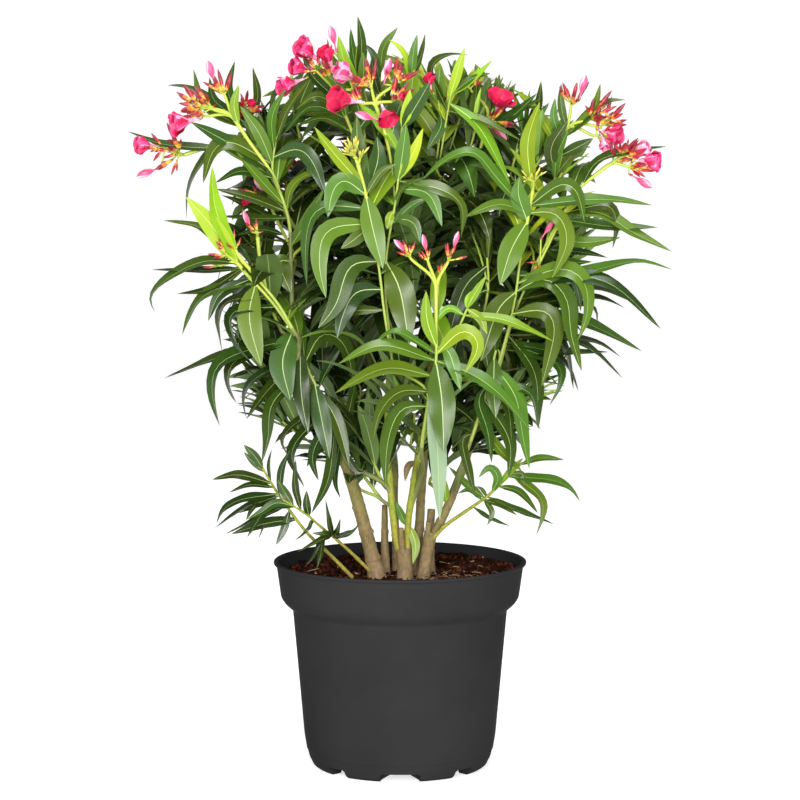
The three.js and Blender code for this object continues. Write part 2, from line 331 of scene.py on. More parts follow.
def petal_rib(t):
    """How far a petal's middle stands out on its outside."""
    return 0.84 * np.sqrt(petal_outline(t))


def leaf_kinds(rows):
    """Which look each face of a leaf has: 0 its upper side, 1 its rib, 2 its underside."""
    return np.repeat([0, 0, 1, 0, 0, 2, 2, 1, 2, 2], rows)


def petal_kinds(rows):
    """0 to 2 are a petal's edges, middle and centre inside, 3 to 5 the same outside, and 6 its rim."""
    kinds = np.repeat([[0], [1], [2], [1], [0], [3], [4], [5], [4], [3]], rows, axis=1)
    kinds[:, -1] = 6
    return kinds.ravel()


# What sets a leaf apart from a petal: its outline, the depth of its rib, which look each face has, the least
# half width of its rib as a share of its own, and how much its edges arch.
LEAF_SHAPE = (leaf_outline, leaf_rib, leaf_kinds, 0.0, 0.0)
PETAL_SHAPE = (petal_outline, petal_rib, petal_kinds, 0.2, 0.5)


def leaf_steps(rows):
    """Shares of a leaf's length where its rows of points lie, a little closer near its point."""
    return np.linspace(0, 1, rows + 1)**0.92


def rolled(side, normal, angle):
    """A leaf's two cross directions, turned about its length."""
    return side * np.cos(angle) + normal * np.sin(angle), normal * np.cos(angle) - side * np.sin(angle)


def midlines(foot, heading, towards, length, bend, rows=LEAF_ROWS):
    """The middle lines of many leaves: shares of the length, points and directions."""
    t = leaf_steps(rows)
    towards = np.broadcast_to(towards, heading.shape)
    whole = np.arccos(np.clip((heading * towards).sum(1), -0.999, 0.999))
    turn = np.minimum(bend, whole * 0.96)[:, None] * t[None, :]**1.25
    ahead = unit((np.sin(whole[:, None] - turn)[..., None] * heading[:, None]
                  + np.sin(turn)[..., None] * towards[:, None]) / np.sin(whole)[:, None, None])
    steps = np.diff(t)[None, :, None] * length[:, None, None]
    middle = np.concatenate([np.zeros((len(foot), 1, 3)),
                             np.cumsum((ahead[:, 1:] + ahead[:, :-1]) / 2 * steps, 1)], 1)
    return t, middle + foot[:, None], ahead


def blades(piece, foot, heading, towards, length, width, bend, fold, roll, wave, looks, shape=LEAF_SHAPE,
           rows=LEAF_ROWS):
    """Leaves or petals, all made at once. Each starts at its foot in its heading and bends towards a
    direction by an angle, and roll turns it about its length."""
    t, middle, ahead = midlines(foot, heading, towards, length, bend, rows)
    side = unit(np.cross(np.broadcast_to(towards, heading.shape), heading))[:, None] + np.zeros_like(ahead)
    side, normal = rolled(side, np.cross(side, ahead), roll[:, None, None] * (0.35 + 0.65 * t[None, :, None]))
    blade_meshes(piece, t, middle, side, normal, width, fold, wave, looks, shape)


def blade_meshes(piece, t, middle, side, normal, width, fold, wave, looks, shape=LEAF_SHAPE):
    """Thin leaves or petals round their middle lines, with an upper and an under side and open at both ends.
    fold lifts their edges, and wave ripples them. looks (n, k) are the materials of each one's k kinds of
    face."""
    outline, rib_depth, kinds, rib_share, arch = shape
    n, rows = len(middle), len(t) - 1
    half = (width / 2)[:, None] * outline(t)[None, :]
    rib = np.minimum(RIB_HALF_WIDTH * (1 - 0.7 * t)[None, :] * (width / COMMON_WIDTH)[:, None], half * 0.5)
    rib = np.maximum(rib, half * rib_share)
    reach = np.stack([-half, -0.55 * half, -rib, rib, 0.55 * half, half], -1)
    part = np.abs(reach) / np.maximum(half, 1e-6)[..., None]
    lift = half[..., None] * (fold[:, None, None] * (part - 0.54 * part**2) + arch * part**2)
    phase = wave[:, None, None] * 40
    ripple = (wave[:, None, None] * half[..., None] * 0.22 * part**2
              * np.sin(t[None, :, None] * 15 + phase + np.sign(reach)))
    top = (middle[:, :, None] + side[:, :, None] * reach[..., None]
           + normal[:, :, None] * (lift + ripple)[..., None])
    below = top[:, :, [1, 2, 3, 4]].copy()
    edge, spine = LEAF_THICKNESS * np.sqrt(outline(t)), rib_depth(t)
    below -= normal[:, :, None] * np.stack([edge, spine, spine, edge], 1)[None, ..., None]
    points = np.concatenate([top, below], 2)
    columns = points.shape[2]
    i = np.arange(rows) * columns
    quads = [np.stack([i + a, i + b, i + columns + b, i + columns + a], 1) for a, b in UPPER_STRIPS]
    quads += [np.stack([i + a, i + columns + a, i + columns + b, i + b], 1) for a, b in UNDER_STRIPS]
    start = np.arange(n)[:, None, None] * columns * (rows + 1)
    faces = (np.concatenate(quads)[None] + start).reshape(-1, 4)
    piece.add(points, faces, np.asarray(looks)[:, kinds(rows)].ravel())


# ==== materials ====

def wire(tree, made, **inputs):
    """Sets a node's inputs to values, or links them where the value is another node's output."""
    for name, value in inputs.items():
        socket = made.inputs[name.replace("_", " ")]
        if isinstance(value, bpy.types.NodeSocket):
            tree.links.new(value, socket)
        else:
            socket.default_value = value


def node(tree, kind, output, operation=None, **inputs):
    """The named output of a new node with these inputs."""
    made = tree.nodes.new("ShaderNode" + kind)
    if operation:
        made.operation = operation
    wire(tree, made, **inputs)
    return made.outputs[output]


def new_material(name):
    """A material, its node tree, its shader, and the place on the object that its patterns follow."""
    material = bpy.data.materials.new(name)
    material.use_nodes = True
    tree = material.node_tree
    return material, tree, tree.nodes["Principled BSDF"], node(tree, "TexCoord", "Object")


def relief(tree, height, strength, depth=0.001):
    return node(tree, "Bump", "Normal", Height=height, Strength=strength, Distance=depth)


def colour_ramp(tree, value, stops):
    """The colour that a value has between stops of (value, colour)."""
    ramp = tree.nodes.new("ShaderNodeValToRGB")
    while len(ramp.color_ramp.elements) < len(stops):
        ramp.color_ramp.elements.new(0.5)
    for element, (at, colour) in zip(ramp.color_ramp.elements, stops):
        element.position = at
        element.color = (*colour, 1)
    wire(tree, ramp, Fac=value)
    return ramp.outputs["Color"]


def finish_of(name, colour, roughness, bump=0.1, grain=900.0, sheen=0.5):
    """A surface of one colour whose gloss and fine relief vary with a noise."""
    material, tree, shader, place = new_material(name)
    cells = node(tree, "TexNoise", "Fac", Vector=place, Scale=grain, Detail=3.0)
    gloss = node(tree, "MapRange", "Result", Value=cells, To_Min=roughness - 0.06, To_Max=roughness + 0.08)
    wire(tree, shader, Base_Color=(*colour, 1), Specular_IOR_Level=sheen, Roughness=gloss,
         Normal=relief(tree, cells, bump))
    return material


def bark_material(name, low, high, stops):
    """Smooth bark with fine cracks and specks, whose colours change from this height to that, in metres."""
    material, tree, shader, place = new_material(name)
    height = node(tree, "SeparateXYZ", "Z", Vector=place)
    blotches = node(tree, "TexNoise", "Fac", Vector=place, Scale=55.0, Detail=4.0)
    climb = node(tree, "MapRange", "Result", Value=height, From_Min=low, From_Max=high)
    drift = tree.nodes.new("ShaderNodeMath")
    drift.operation = "MULTIPLY_ADD"
    tree.links.new(blotches, drift.inputs[0])
    drift.inputs[1].default_value = 0.55
    tree.links.new(climb, drift.inputs[2])
    stretched = node(tree, "Mapping", "Vector", Vector=place, Scale=(1, 1, 0.6))
    cracks = node(tree, "TexNoise", "Fac", Vector=stretched, Scale=330.0, Detail=5.0, Roughness=0.6)
    dark = node(tree, "MapRange", "Result", Value=cracks, From_Min=0.34, From_Max=0.6, To_Min=0.68,
                To_Max=1.12)
    colour = colour_ramp(tree, drift.outputs["Value"], stops)
    shaded = node(tree, "VectorMath", "Vector", "SCALE", Vector=colour, Scale=dark)
    wire(tree, shader, Base_Color=shaded, Roughness=0.72, Specular_IOR_Level=0.3,
         Normal=relief(tree, cracks, 0.3))
    return material


def plastic_material():
    """Moulded black plastic, matt, with faint scuffs and a fine moulded grain."""
    material, tree, shader, place = new_material("pot_plastic")
    cloud = node(tree, "TexNoise", "Fac", Vector=place, Scale=9.0, Detail=5.0, Roughness=0.6)
    grain = node(tree, "TexNoise", "Fac", Vector=place, Scale=1400.0, Detail=2.0)
    blacks = [(0.3, (0.0165, 0.0160, 0.0164)), (0.75, (0.0215, 0.0209, 0.0214))]
    wire(tree, shader, IOR=1.03, Base_Color=colour_ramp(tree, cloud, blacks),
         Roughness=node(tree, "MapRange", "Result", Value=cloud, To_Min=0.46, To_Max=0.62),
         Normal=relief(tree, grain, 0.12, 0.0004))
    return material


def floor_material():
    """Matt white paper that glows a little, so that it stays white far from the lamps."""
    material = finish_of("floor_white", (0.6, 0.6, 0.6), 0.9, bump=0.02, grain=40.0, sheen=0.1)
    tree = material.node_tree
    wire(tree, tree.nodes["Principled BSDF"], Emission_Color=(1, 1, 1, 1), Emission_Strength=FLOOR_GLOW)
    return material


# Upper sides of the leaves, from the oldest to the youngest, each in a plain, a cooler and a warmer tint.
# Besides age, the tones carry painted shade and light: leaves that lie in shade get the darker tones, and
# leaves that catch the light the brighter ones.
LEAF_TONES = {
    "deep": ((0.0155, 0.031, 0.004), 0.27), "dark": ((0.0245, 0.048, 0.005), 0.27),
    "mid": ((0.037, 0.071, 0.007), 0.28), "fresh": ((0.062, 0.117, 0.009), 0.31),
    "bright": ((0.116, 0.197, 0.008), 0.36), "young": ((0.215, 0.312, 0.010), 0.40),
    "pale": ((0.203, 0.222, 0.119), 0.40), "dry": ((0.150, 0.105, 0.042), 0.55),
}
TONES = list(LEAF_TONES)
YOUNG = TONES.index("young")
SHADES = {"plain": (1, 1, 1), "cool": (0.78, 1.0, 1.1), "warm": (1.18, 1.0, 0.8)}
GREENS = [
    finish_of(f"leaf_{tone}_{shade}", np.multiply(colour, tint), roughness, sheen=0.24)
    for tone, (colour, roughness) in LEAF_TONES.items() for shade, tint in SHADES.items()
]
RIBS = [
    finish_of("rib_pale", (0.250, 0.340, 0.110), 0.45),
    finish_of("rib_young", (0.400, 0.520, 0.100), 0.45),
]
UNDERS = [
    finish_of("under_old", (0.070, 0.118, 0.026), 0.55, sheen=0.3),
    finish_of("under_fresh", (0.120, 0.210, 0.026), 0.55, sheen=0.3),
    finish_of("under_young", (0.200, 0.330, 0.028), 0.55, sheen=0.3),
    finish_of("under_dry", (0.160, 0.115, 0.050), 0.7, sheen=0.2),
]
LEAF_LOOKS = [*GREENS, *RIBS, *UNDERS]
# For each tone, the place in LEAF_LOOKS of its rib and of its underside.
RIB_LOOK = len(GREENS) + np.array([0, 0, 0, 0, 1, 1, 0, 0])
UNDER_LOOK = len(GREENS) + len(RIBS) + np.array([0, 0, 0, 1, 2, 2, 1, 3])

CRIMSON, ROSE, PALE, DARK, BLUSH = range(5)
FLOWER_LOOKS = [
    finish_of(f"petal_{name}", colour, roughness, sheen=0.3) for name, colour, roughness in [
        ("crimson", (0.500, 0.008, 0.058), 0.5), ("rose", (0.600, 0.050, 0.175), 0.5),
        ("pale", (0.720, 0.250, 0.380), 0.5), ("dark", (0.330, 0.005, 0.030), 0.55),
        ("blush", (0.780, 0.470, 0.560), 0.5),
    ]
]
BUD_RED, BUD_ROSE, BUD_YELLOW, SEPAL, BUD_ORANGE, BUD_DARK, BUD_PALE, BUD_GREEN = range(8)
BUD_LOOKS = [
    finish_of(name, colour, roughness) for name, colour, roughness in [
        ("bud_red", (0.310, 0.010, 0.018), 0.42), ("bud_rose", (0.600, 0.060, 0.160), 0.45),
        ("bud_yellow", (0.560, 0.420, 0.050), 0.5), ("sepal", (0.170, 0.030, 0.018), 0.55),
        ("bud_orange", (0.540, 0.150, 0.035), 0.45), ("bud_dark", (0.180, 0.008, 0.018), 0.45),
        ("bud_pale", (0.740, 0.330, 0.440), 0.45), ("bud_green", (0.300, 0.340, 0.040), 0.5),
    ]
]
STALK = finish_of("flower_stalk", (0.330, 0.400, 0.040), 0.5)
TWIG_LOOKS = [
    finish_of("twig_green", (0.220, 0.290, 0.034), 0.5, bump=0.2),
    finish_of("twig_olive", (0.130, 0.150, 0.034), 0.6, bump=0.3, grain=500.0),
    finish_of("twig_brown", (0.200, 0.140, 0.065), 0.75, bump=0.5, grain=400.0),
]
BROWN_BARK = bark_material("brown_bark", 0.21, 0.42, [
    (0.15, (0.28, 0.18, 0.105)), (0.4, (0.18, 0.122, 0.055)), (0.7, (0.145, 0.118, 0.035)),
    (1.0, (0.11, 0.125, 0.022))])
GREEN_BARK = bark_material("green_bark", 0.20, 0.33, [
    (0.15, (0.28, 0.19, 0.095)), (0.42, (0.27, 0.22, 0.042)), (0.72, (0.25, 0.23, 0.025)),
    (1.0, (0.20, 0.23, 0.022))])
CUT_WOOD = finish_of("cut_wood", (0.480, 0.350, 0.210), 0.8, bump=0.5, grain=700.0, sheen=0.2)
PLASTIC = plastic_material()
SOIL_BED = finish_of("soil_bed", (0.022, 0.007, 0.003), 0.9, bump=0.9, grain=350.0, sheen=0.05)
CRUMB_DARK, CRUMB_RED, CRUMB_BROWN, CRUMB_PALE = range(4)
CRUMB_LOOKS = [
    finish_of("crumb_dark", (0.010, 0.004, 0.002), 0.9, bump=0.7, grain=500.0, sheen=0.05),
    finish_of("crumb_red", (0.050, 0.011, 0.005), 0.85, bump=0.7, grain=500.0, sheen=0.05),
    finish_of("crumb_brown", (0.070, 0.021, 0.009), 0.85, bump=0.7, grain=500.0, sheen=0.1),
    finish_of("crumb_pale", (0.300, 0.190, 0.100), 0.85, bump=0.5, grain=500.0, sheen=0.25),
]


# ==== camera, light and floor ====

def set_the_stage():
    scene = bpy.context.scene
    camera = bpy.data.objects.new("camera", bpy.data.cameras.new("camera"))
    camera.location = (0, -CAMERA_AWAY * MM, CAMERA_HEIGHT * MM)
    camera.rotation_euler = (math.pi / 2 - CAMERA_PITCH, 0, 0)
    camera.data.lens = CAMERA_LENS
    camera.data.sensor_width = SENSOR
    scene.collection.objects.link(camera)
    scene.camera = camera
    scene.view_settings.view_transform = "Standard"

    world = bpy.data.worlds.new("studio")
    world.use_nodes = True
    wire(world.node_tree, world.node_tree.nodes["Background"], Color=(1, 1, 1, 1), Strength=ROOM_LIGHT)
    scene.world = world

    for name, place, size, power in LAMPS:
        lamp = bpy.data.objects.new(name, bpy.data.lights.new(name, "AREA"))
        lamp.data.size = size
        lamp.data.energy = power
        lamp.location = place
        lamp.rotation_euler = (Vector(LAMP_AIM) - Vector(place)).to_track_quat("-Z", "Y").to_euler()
        scene.collection.objects.link(lamp)

    floor = Piece("floor", floor_material())
    climb = np.linspace(0, math.pi / 2, SWEEP_STEPS)
    radii = [1, *(FLOOR_RADIUS + SWEEP_RADIUS * np.sin(climb))]
    heights = [0, *(SWEEP_RADIUS * (1 - np.cos(climb)))]
    points = [(r * math.cos(a), r * math.sin(a), z)
              for r, z in zip(radii, heights) for a in even_turns(FLOOR_SIDES)]
    floor.add(points, grid_faces(len(radii), FLOOR_SIDES, closed=True))
    floor.make()


# ==== the pot ====

def rounded(points, radius, steps=5):
    """A profile with its inner corners rounded."""
    points = [np.array(p, float) for p in points]
    out = [points[0]]
    for before, corner, after in zip(points, points[1:], points[2:]):
        back, on = before - corner, after - corner
        cut = min(radius, np.linalg.norm(back) * 0.45, np.linalg.norm(on) * 0.45)
        a, b = corner + unit(back) * cut, corner + unit(on) * cut
        for t in np.linspace(0, 1, steps):
            out.append((1 - t)**2 * a + 2 * t * (1 - t) * corner + t * t * b)
    return out + [points[-1]]


def pot_profile():
    """The pot's section, (radius, height), from the middle of its underside up outside and down inside."""
    lip = POT_HEIGHT - RIM_LIP
    outside = [
        (0, 0), (HUB_RADIUS, 0), (HUB_RADIUS, FLOOR_UNDERSIDE),
        (FOOT_RADIUS - FOOT_RING_WIDTH, FLOOR_UNDERSIDE), (FOOT_RADIUS - FOOT_RING_WIDTH, 0),
        (FOOT_RADIUS, 0), (FOOT_RADIUS + 5, 4), (FOOT_RADIUS + 8, 11),
        (CHAMFER_RADIUS, CHAMFER_HEIGHT - 1), (CHAMFER_RADIUS + 0.9, CHAMFER_HEIGHT + 0.4),
        (BODY_FOOT_RADIUS, BODY_BOTTOM), (BODY_TOP_RADIUS, SHOULDER_BOTTOM),
        (SHOULDER_RADIUS, COLLAR_BOTTOM - 4), (COLLAR_FOOT_RADIUS, COLLAR_BOTTOM + 2),
        (RIM_RADIUS - LIP_WIDTH, lip), (RIM_RADIUS, lip + 0.8), (RIM_RADIUS, POT_HEIGHT - 0.6),
        (RIM_RADIUS - 1.2, POT_HEIGHT),
    ]
    inside = [
        (RIM_RADIUS - LIP_WIDTH - WALL, POT_HEIGHT - 0.4), (COLLAR_FOOT_RADIUS - WALL, COLLAR_BOTTOM + 3),
        (SHOULDER_RADIUS - WALL, COLLAR_BOTTOM - 3), (BODY_TOP_RADIUS - WALL, SHOULDER_BOTTOM),
        (BODY_FOOT_RADIUS - WALL, BODY_BOTTOM), (CHAMFER_RADIUS - WALL, CHAMFER_HEIGHT),
        (FOOT_RADIUS + 4, FLOOR_UNDERSIDE + WALL), (0, FLOOR_UNDERSIDE + WALL),
    ]
    return rounded(outside + inside, CORNER_ROUND)


def at_notch(number, reach, out, height):
    """The place this far along the foot from the middle of a notch, and this far out from the pot's axis."""
    turn = number * 2 * math.pi / NOTCHES
    right = reach * math.cos(turn) + out * math.sin(turn)
    back = reach * math.sin(turn) - out * math.cos(turn)
    return (right, back, height)


def notch_cutter():
    """The blocks that cut the drainage notches through the foot ring, alternately wide and narrow."""
    cutter = Piece("notch_cutter")
    top = FLOOR_UNDERSIDE - 0.5
    inner, outer = FOOT_RADIUS - FOOT_RING_WIDTH - 8, FOOT_RADIUS + 22
    for number in range(NOTCHES):
        half = (NARROW_NOTCH if number % 2 else WIDE_NOTCH) / 2
        outline = [(-half, -5), (half, -5), (half, top - NOTCH_BEVEL), (half - NOTCH_BEVEL, top),
                   (-half + NOTCH_BEVEL, top), (-half, top - NOTCH_BEVEL)]
        corners = [at_notch(number, reach, out, height)
                   for out in (inner, outer) for reach, height in outline]
        cutter.add(corners, grid_faces(2, 6, closed=True))
        fan = [(0, k + 1, k) for k in range(1, 5)]
        cutter.again(fan + [(6 + a, 6 + c, 6 + b) for a, b, c in fan])
    return cutter.make()


def foot_lugs(piece):
    """Inside each wide notch, two curved lugs stand at its sides."""
    for number in range(0, NOTCHES, 2):
        for hand in (-1, 1):
            points = []
            for out in (FOOT_RADIUS - 9, FOOT_RADIUS - 5):
                for t in np.linspace(0, 1, LUG_STEPS + 1):
                    edge = WIDE_NOTCH / 2 - LUG_REACH * math.sin(t * math.pi / 2)**1.6
                    height = 0.1 + t * (FLOOR_UNDERSIDE + 0.3)
                    points += [at_notch(number, hand * reach, out, height)
                               for reach in (edge, WIDE_NOTCH / 2 + 1)]
            quads = [(0, 18, 19, 1), (16, 17, 35, 34)]
            for a in range(0, 2 * LUG_STEPS, 2):
                quads += [(a, a + 1, a + 3, a + 2), (a + 18, a + 20, a + 21, a + 19),
                          (a, a + 2, a + 20, a + 18), (a + 1, a + 19, a + 21, a + 3)]
            piece.add(points, quads)


def make_pot():
    shell = Piece("pot_shell", PLASTIC)
    turned(shell, pot_profile(), POT_SIDES)
    pot = shell.make()
    cutter = notch_cutter()
    cut = pot.modifiers.new("notches", "BOOLEAN")
    cut.operation = "DIFFERENCE"
    cut.solver = "EXACT"
    cut.object = cutter
    bpy.context.view_layer.objects.active = pot
    bpy.ops.object.modifier_apply(modifier=cut.name)
    bpy.data.objects.remove(cutter)
    smooth_by_angle(pot.data, POT_CREASE)
    lugs = Piece("pot_lugs", PLASTIC)
    foot_lugs(lugs)
    return [(pot, "pot"), (lugs.make(smooth=False), "pot")]


def smooth_by_angle(mesh, limit):
    """Turns all faces outwards and shades them smooth where they meet at less than this angle."""
    bm = bmesh.new()
    bm.from_mesh(mesh)
    bmesh.ops.recalc_face_normals(bm, faces=bm.faces)
    for face in bm.faces:
        face.smooth = True
    for edge in bm.edges:
        if len(edge.link_faces) == 2:
            edge.smooth = edge.calc_face_angle(0) < limit
    bm.to_mesh(mesh)
    bm.free()


# ==== the soil ====

def soil_height(x, y):
    """The soil's own level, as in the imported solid, with small clods."""
    out = math.hypot(x, y)
    beyond = max(0.0, out - SOIL_FLAT_RADIUS) / SOIL_FLAT_RADIUS
    bank = SOIL_BANK * min(1, beyond) * (1 + math.sin(math.atan2(y, x) + 0.6)) / 2
    clods = 2.2 * noise.noise(Vector((x, y, 3)) * 0.06) + 1.5 * noise.noise(Vector((x, y, 9)) * 0.17)
    return SOIL_LEVEL + bank + clods


def make_soil(rng):
    """The bed of soil, down to the pot's floor, with loose crumbs and fibres on it."""
    turn = even_turns(SOIL_SIDES)
    wall = [(FOOT_RADIUS - 6, SOIL_FLOOR), (FOOT_RADIUS, SOIL_FLOOR + 4),
            (BODY_TOP_RADIUS - 5, SHOULDER_BOTTOM - 4)]
    rings = [[(r * math.cos(a), r * math.sin(a), z) for a in turn] for r, z in wall]
    for r in np.linspace(SOIL_RADIUS, 2, SOIL_RINGS):
        flat = [(r * math.cos(a), r * math.sin(a)) for a in turn]
        rings.append([(x, y, soil_height(x, y)) for x, y in flat])
    bed = Piece("soil_bed", SOIL_BED)
    closed_skin(bed, np.array(rings), [(0, 0, SOIL_FLOOR), (0, 0, soil_height(0, 0))])
    crumbs = Piece("soil_crumbs", *CRUMB_LOOKS)
    for _ in range(CRUMBS):
        add_crumb(crumbs, rng)
    for _ in range(FIBRES):
        add_fibre(crumbs, rng)
    return [(bed.make(), "soil"), (crumbs.make(smooth=False), "soil")]


def soil_spot(rng):
    turn, out = rng.uniform(0, 2 * math.pi), (SOIL_RADIUS - 3) * math.sqrt(rng.uniform(0, 1))
    x, y = out * math.cos(turn), out * math.sin(turn)
    return vec(x, y, soil_height(x, y))


def add_crumb(piece, rng):
    """An uneven lump of compost or bark with eight faces."""
    size = rng.choice([1.3, 2.2, 3.4, 5.0], p=[0.38, 0.36, 0.2, 0.06]) * rng.uniform(0.7, 1.3)
    shape = unit(rng.normal(size=(3, 3)))
    stretch = vec(1, rng.uniform(0.5, 1), rng.uniform(0.35, 0.8)) * size
    corners = np.array([(1, 0, 0), (0, 1, 0), (-1, 0, 0), (0, -1, 0), (0, 0, 1), (0, 0, -1)], float)
    corners = corners * stretch * rng.uniform(0.65, 1.25, (6, 1)) + rng.normal(size=(6, 3)) * 0.12 * size
    basis, _ = np.linalg.qr(shape)
    if np.linalg.det(basis) < 0:
        basis[:, 0] *= -1
    look = rng.choice([CRUMB_DARK, CRUMB_RED, CRUMB_BROWN, CRUMB_PALE], p=[0.4, 0.42, 0.165, 0.015])
    spot = soil_spot(rng)
    spot[2] += size * 0.15
    faces = [(0, 1, 4), (1, 2, 4), (2, 3, 4), (3, 0, 4), (1, 0, 5), (2, 1, 5), (3, 2, 5), (0, 3, 5)]
    piece.add(corners @ basis.T + spot, faces, look)


def add_fibre(piece, rng):
    """A thin straw or root fibre lying on the soil; most lie to the right of the stems."""
    near = vec(58, -30, 0) + rng.normal(size=3) * vec(24, 22, 0) if rng.uniform() < 0.7 else soil_spot(rng)
    start = vec(near[0], near[1], soil_height(near[0], near[1]) + 1.2)
    turn = rng.uniform(0, 2 * math.pi)
    reach = rng.uniform(5, 15)
    step = vec(math.cos(turn), math.sin(turn), rng.uniform(-0.1, 0.3)) * reach / 3
    bow = rng.normal(size=3) * 0.8
    path = np.array([start + step * k + bow * k * (3 - k) / 2 for k in range(4)])
    if np.hypot(path[:, 0], path[:, 1]).max() < SOIL_RADIUS - 4:
        tube(piece, path, np.full(4, rng.uniform(0.25, 0.6)), 4, rng.choice([CRUMB_BROWN, CRUMB_PALE]))


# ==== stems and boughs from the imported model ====

GROUND = SOIL_LEVEL + 0.4


class Limb:
    """A stem, bough or shoot: a smooth path and its radius at each point."""

    def __init__(self, through, radii, flare=0.0, step=4.0):
        self.path = smooth_path(through, step)
        reach = arc_lengths(self.path)
        self.length = reach[-1]
        self.radii = radii[0] + (radii[1] - radii[0]) * reach / self.length + flare * np.exp(-reach / 14)


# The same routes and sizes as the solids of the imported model: the places each passes from its foot up, its
# radius at its foot and at its end, and how much its root flares. Those that end inside a leafy mass run on
# into it.
LIMBS = {
    "stem_left": Limb([(-25, -18, GROUND), (-38, -20, 266), (-58, -24, 336), (-84, -28, 400),
                       (-120, -30, 450)], (8.2, 4.4), 3),
    "trunk_centre": Limb([(6, -22, GROUND), (5, -22, 230), (4, -21, 246)], (7.6, 8.2), 2),
    "stem_right": Limb([(26, -18, GROUND), (29, -18, 236), (34, -18, 264)], (5.4, 7.4), 2.6),
    "stem_back": Limb([(15, 6, GROUND), (21, 10, 260), (25, 16, 320), (34, 40, 390), (60, 90, 470)],
                      (5.4, 3.6), 2),
    "stem_back_left": Limb([(-4, 30, GROUND), (-6, 32, 290), (-8, 42, 350), (-36, 90, 450)], (4.2, 3), 1.4),
    "bough_centre_left": Limb([(-1, -21, 243), (-6, -20, 268), (-11, -18, 320), (-14, -12, 380),
                               (-8, 0, 520)], (4, 3.2)),
    "bough_centre_right": Limb([(8.5, -20, 243), (9, -20, 276), (18, -30, 340), (28, -60, 410),
                                (36, -100, 480)], (3.8, 3.2)),
    "bough_right": Limb([(37, -16, 261), (50, -14, 286), (72, -12, 342), (86, -8, 392), (120, 0, 450)],
                        (5, 4)),
    "side_shoot_right": Limb([(37, -22, 258), (52, -26, 274), (93, -34, 304), (114, -38, 324),
                              (134, -40, 344)], (2.2, 1.2)),
    "side_shoot_left_low": Limb([(-50, -26, GROUND), (-76, -32, 240), (-103, -42, 268), (-127, -50, 302),
                                 (-140, -50, 322), (-157, -50, 352)], (2.2, 1)),
    "side_shoot_left_high": Limb([(-33, -27, 222), (-60, -38, 250), (-89, -58, 278), (-102, -68, 291),
                                  (-127, -80, 309)], (2, 1)),
}
GREEN_LIMBS = [name for name in LIMBS if name.startswith(("side", "bough_centre"))]
STUBS = {
    "stub_centre": Limb([(3, -26.5, 243), (1.5, -28, 258), (1, -28, 270)], (3.6, 3), step=2),
    "stub_right": Limb([(31, -21, 261), (31, -22, 268), (31.5, -22.5, 276)], (3.4, 2.8), step=2),
    "stub_back_left": Limb([(-16, 10, GROUND), (-17, 10, 250), (-17, 11, 290)], (5, 3.2), 1, step=2),
    "stub_back_right": Limb([(34, 18, GROUND), (33, 20, 250), (35, 21, 284)], (5, 4.4), 1, step=2),
}

BARK_SIDES = 26
BARK_STEP = 1.6
KNOT_GAP = 30.0                 # from one ring of leaf scars to the next
FIRST_KNOT = (12, 26)           # the range of the first one's height
KNOT_LENGTH = 2.2
SHORTEST_KNOTTED = 60.0         # shorter limbs have no rings
# How far each part of the relief stands out, as a share of the limb's radius.
RING_SWELL, SCAR_SWELL, GRAIN_SWELL, FINE_SWELL = 0.07, 0.16, 0.07, 0.03
CUT_CREASE = math.radians(50)


def bark_noise(points, fineness):
    """A noise at each point of each ring, stretched along the limb."""
    return np.array([[noise.noise(Vector(p * fineness)) for p in ring] for ring in points])


def make_bark(name, limb, rng, cut):
    """A limb with the relief of its bark: node rings, leaf scars and low ridges. A cut one ends in pale
    wood."""
    path = smooth_path(limb.path[:: max(1, len(limb.path) // 12)].tolist() + [limb.path[-1]], BARK_STEP)
    reach = arc_lengths(path)
    radii = np.interp(reach / reach[-1], np.linspace(0, 1, len(limb.radii)), limb.radii)
    turn = even_turns(BARK_SIDES)
    swell = np.zeros((len(path), BARK_SIDES))
    knots = []
    if limb.length > SHORTEST_KNOTTED:
        knots = np.arange(rng.uniform(*FIRST_KNOT), limb.length, KNOT_GAP)
    for knot in knots:
        spot = rng.uniform(0, 2 * np.pi)
        ridge = np.exp(-((reach - knot) / KNOT_LENGTH)**2)
        swell += (RING_SWELL + SCAR_SWELL * np.cos((turn[None] - spot) / 2)**8) * ridge[:, None]
    points = rings_round(path, radii, BARK_SIDES)
    grain = bark_noise(points, vec(0.28, 0.28, 0.06))
    fine = bark_noise(points, vec(0.9, 0.9, 0.3))
    radii = radii[:, None] * (1 + swell + GRAIN_SWELL * grain + FINE_SWELL * fine)
    points = rings_round(path, radii, BARK_SIDES)
    piece = Piece(f"{name}_bark", GREEN_BARK if name in GREEN_LIMBS else BROWN_BARK, CUT_WOOD)
    closed_skin(piece, points, [path[0], path[-1] + unit(path[-1] - path[-2]) * 0.4],
                end_look=np.repeat([0, int(cut)], BARK_SIDES))
    made = piece.make()
    if cut:
        smooth_by_angle(made.data, CUT_CREASE)
    return made, name
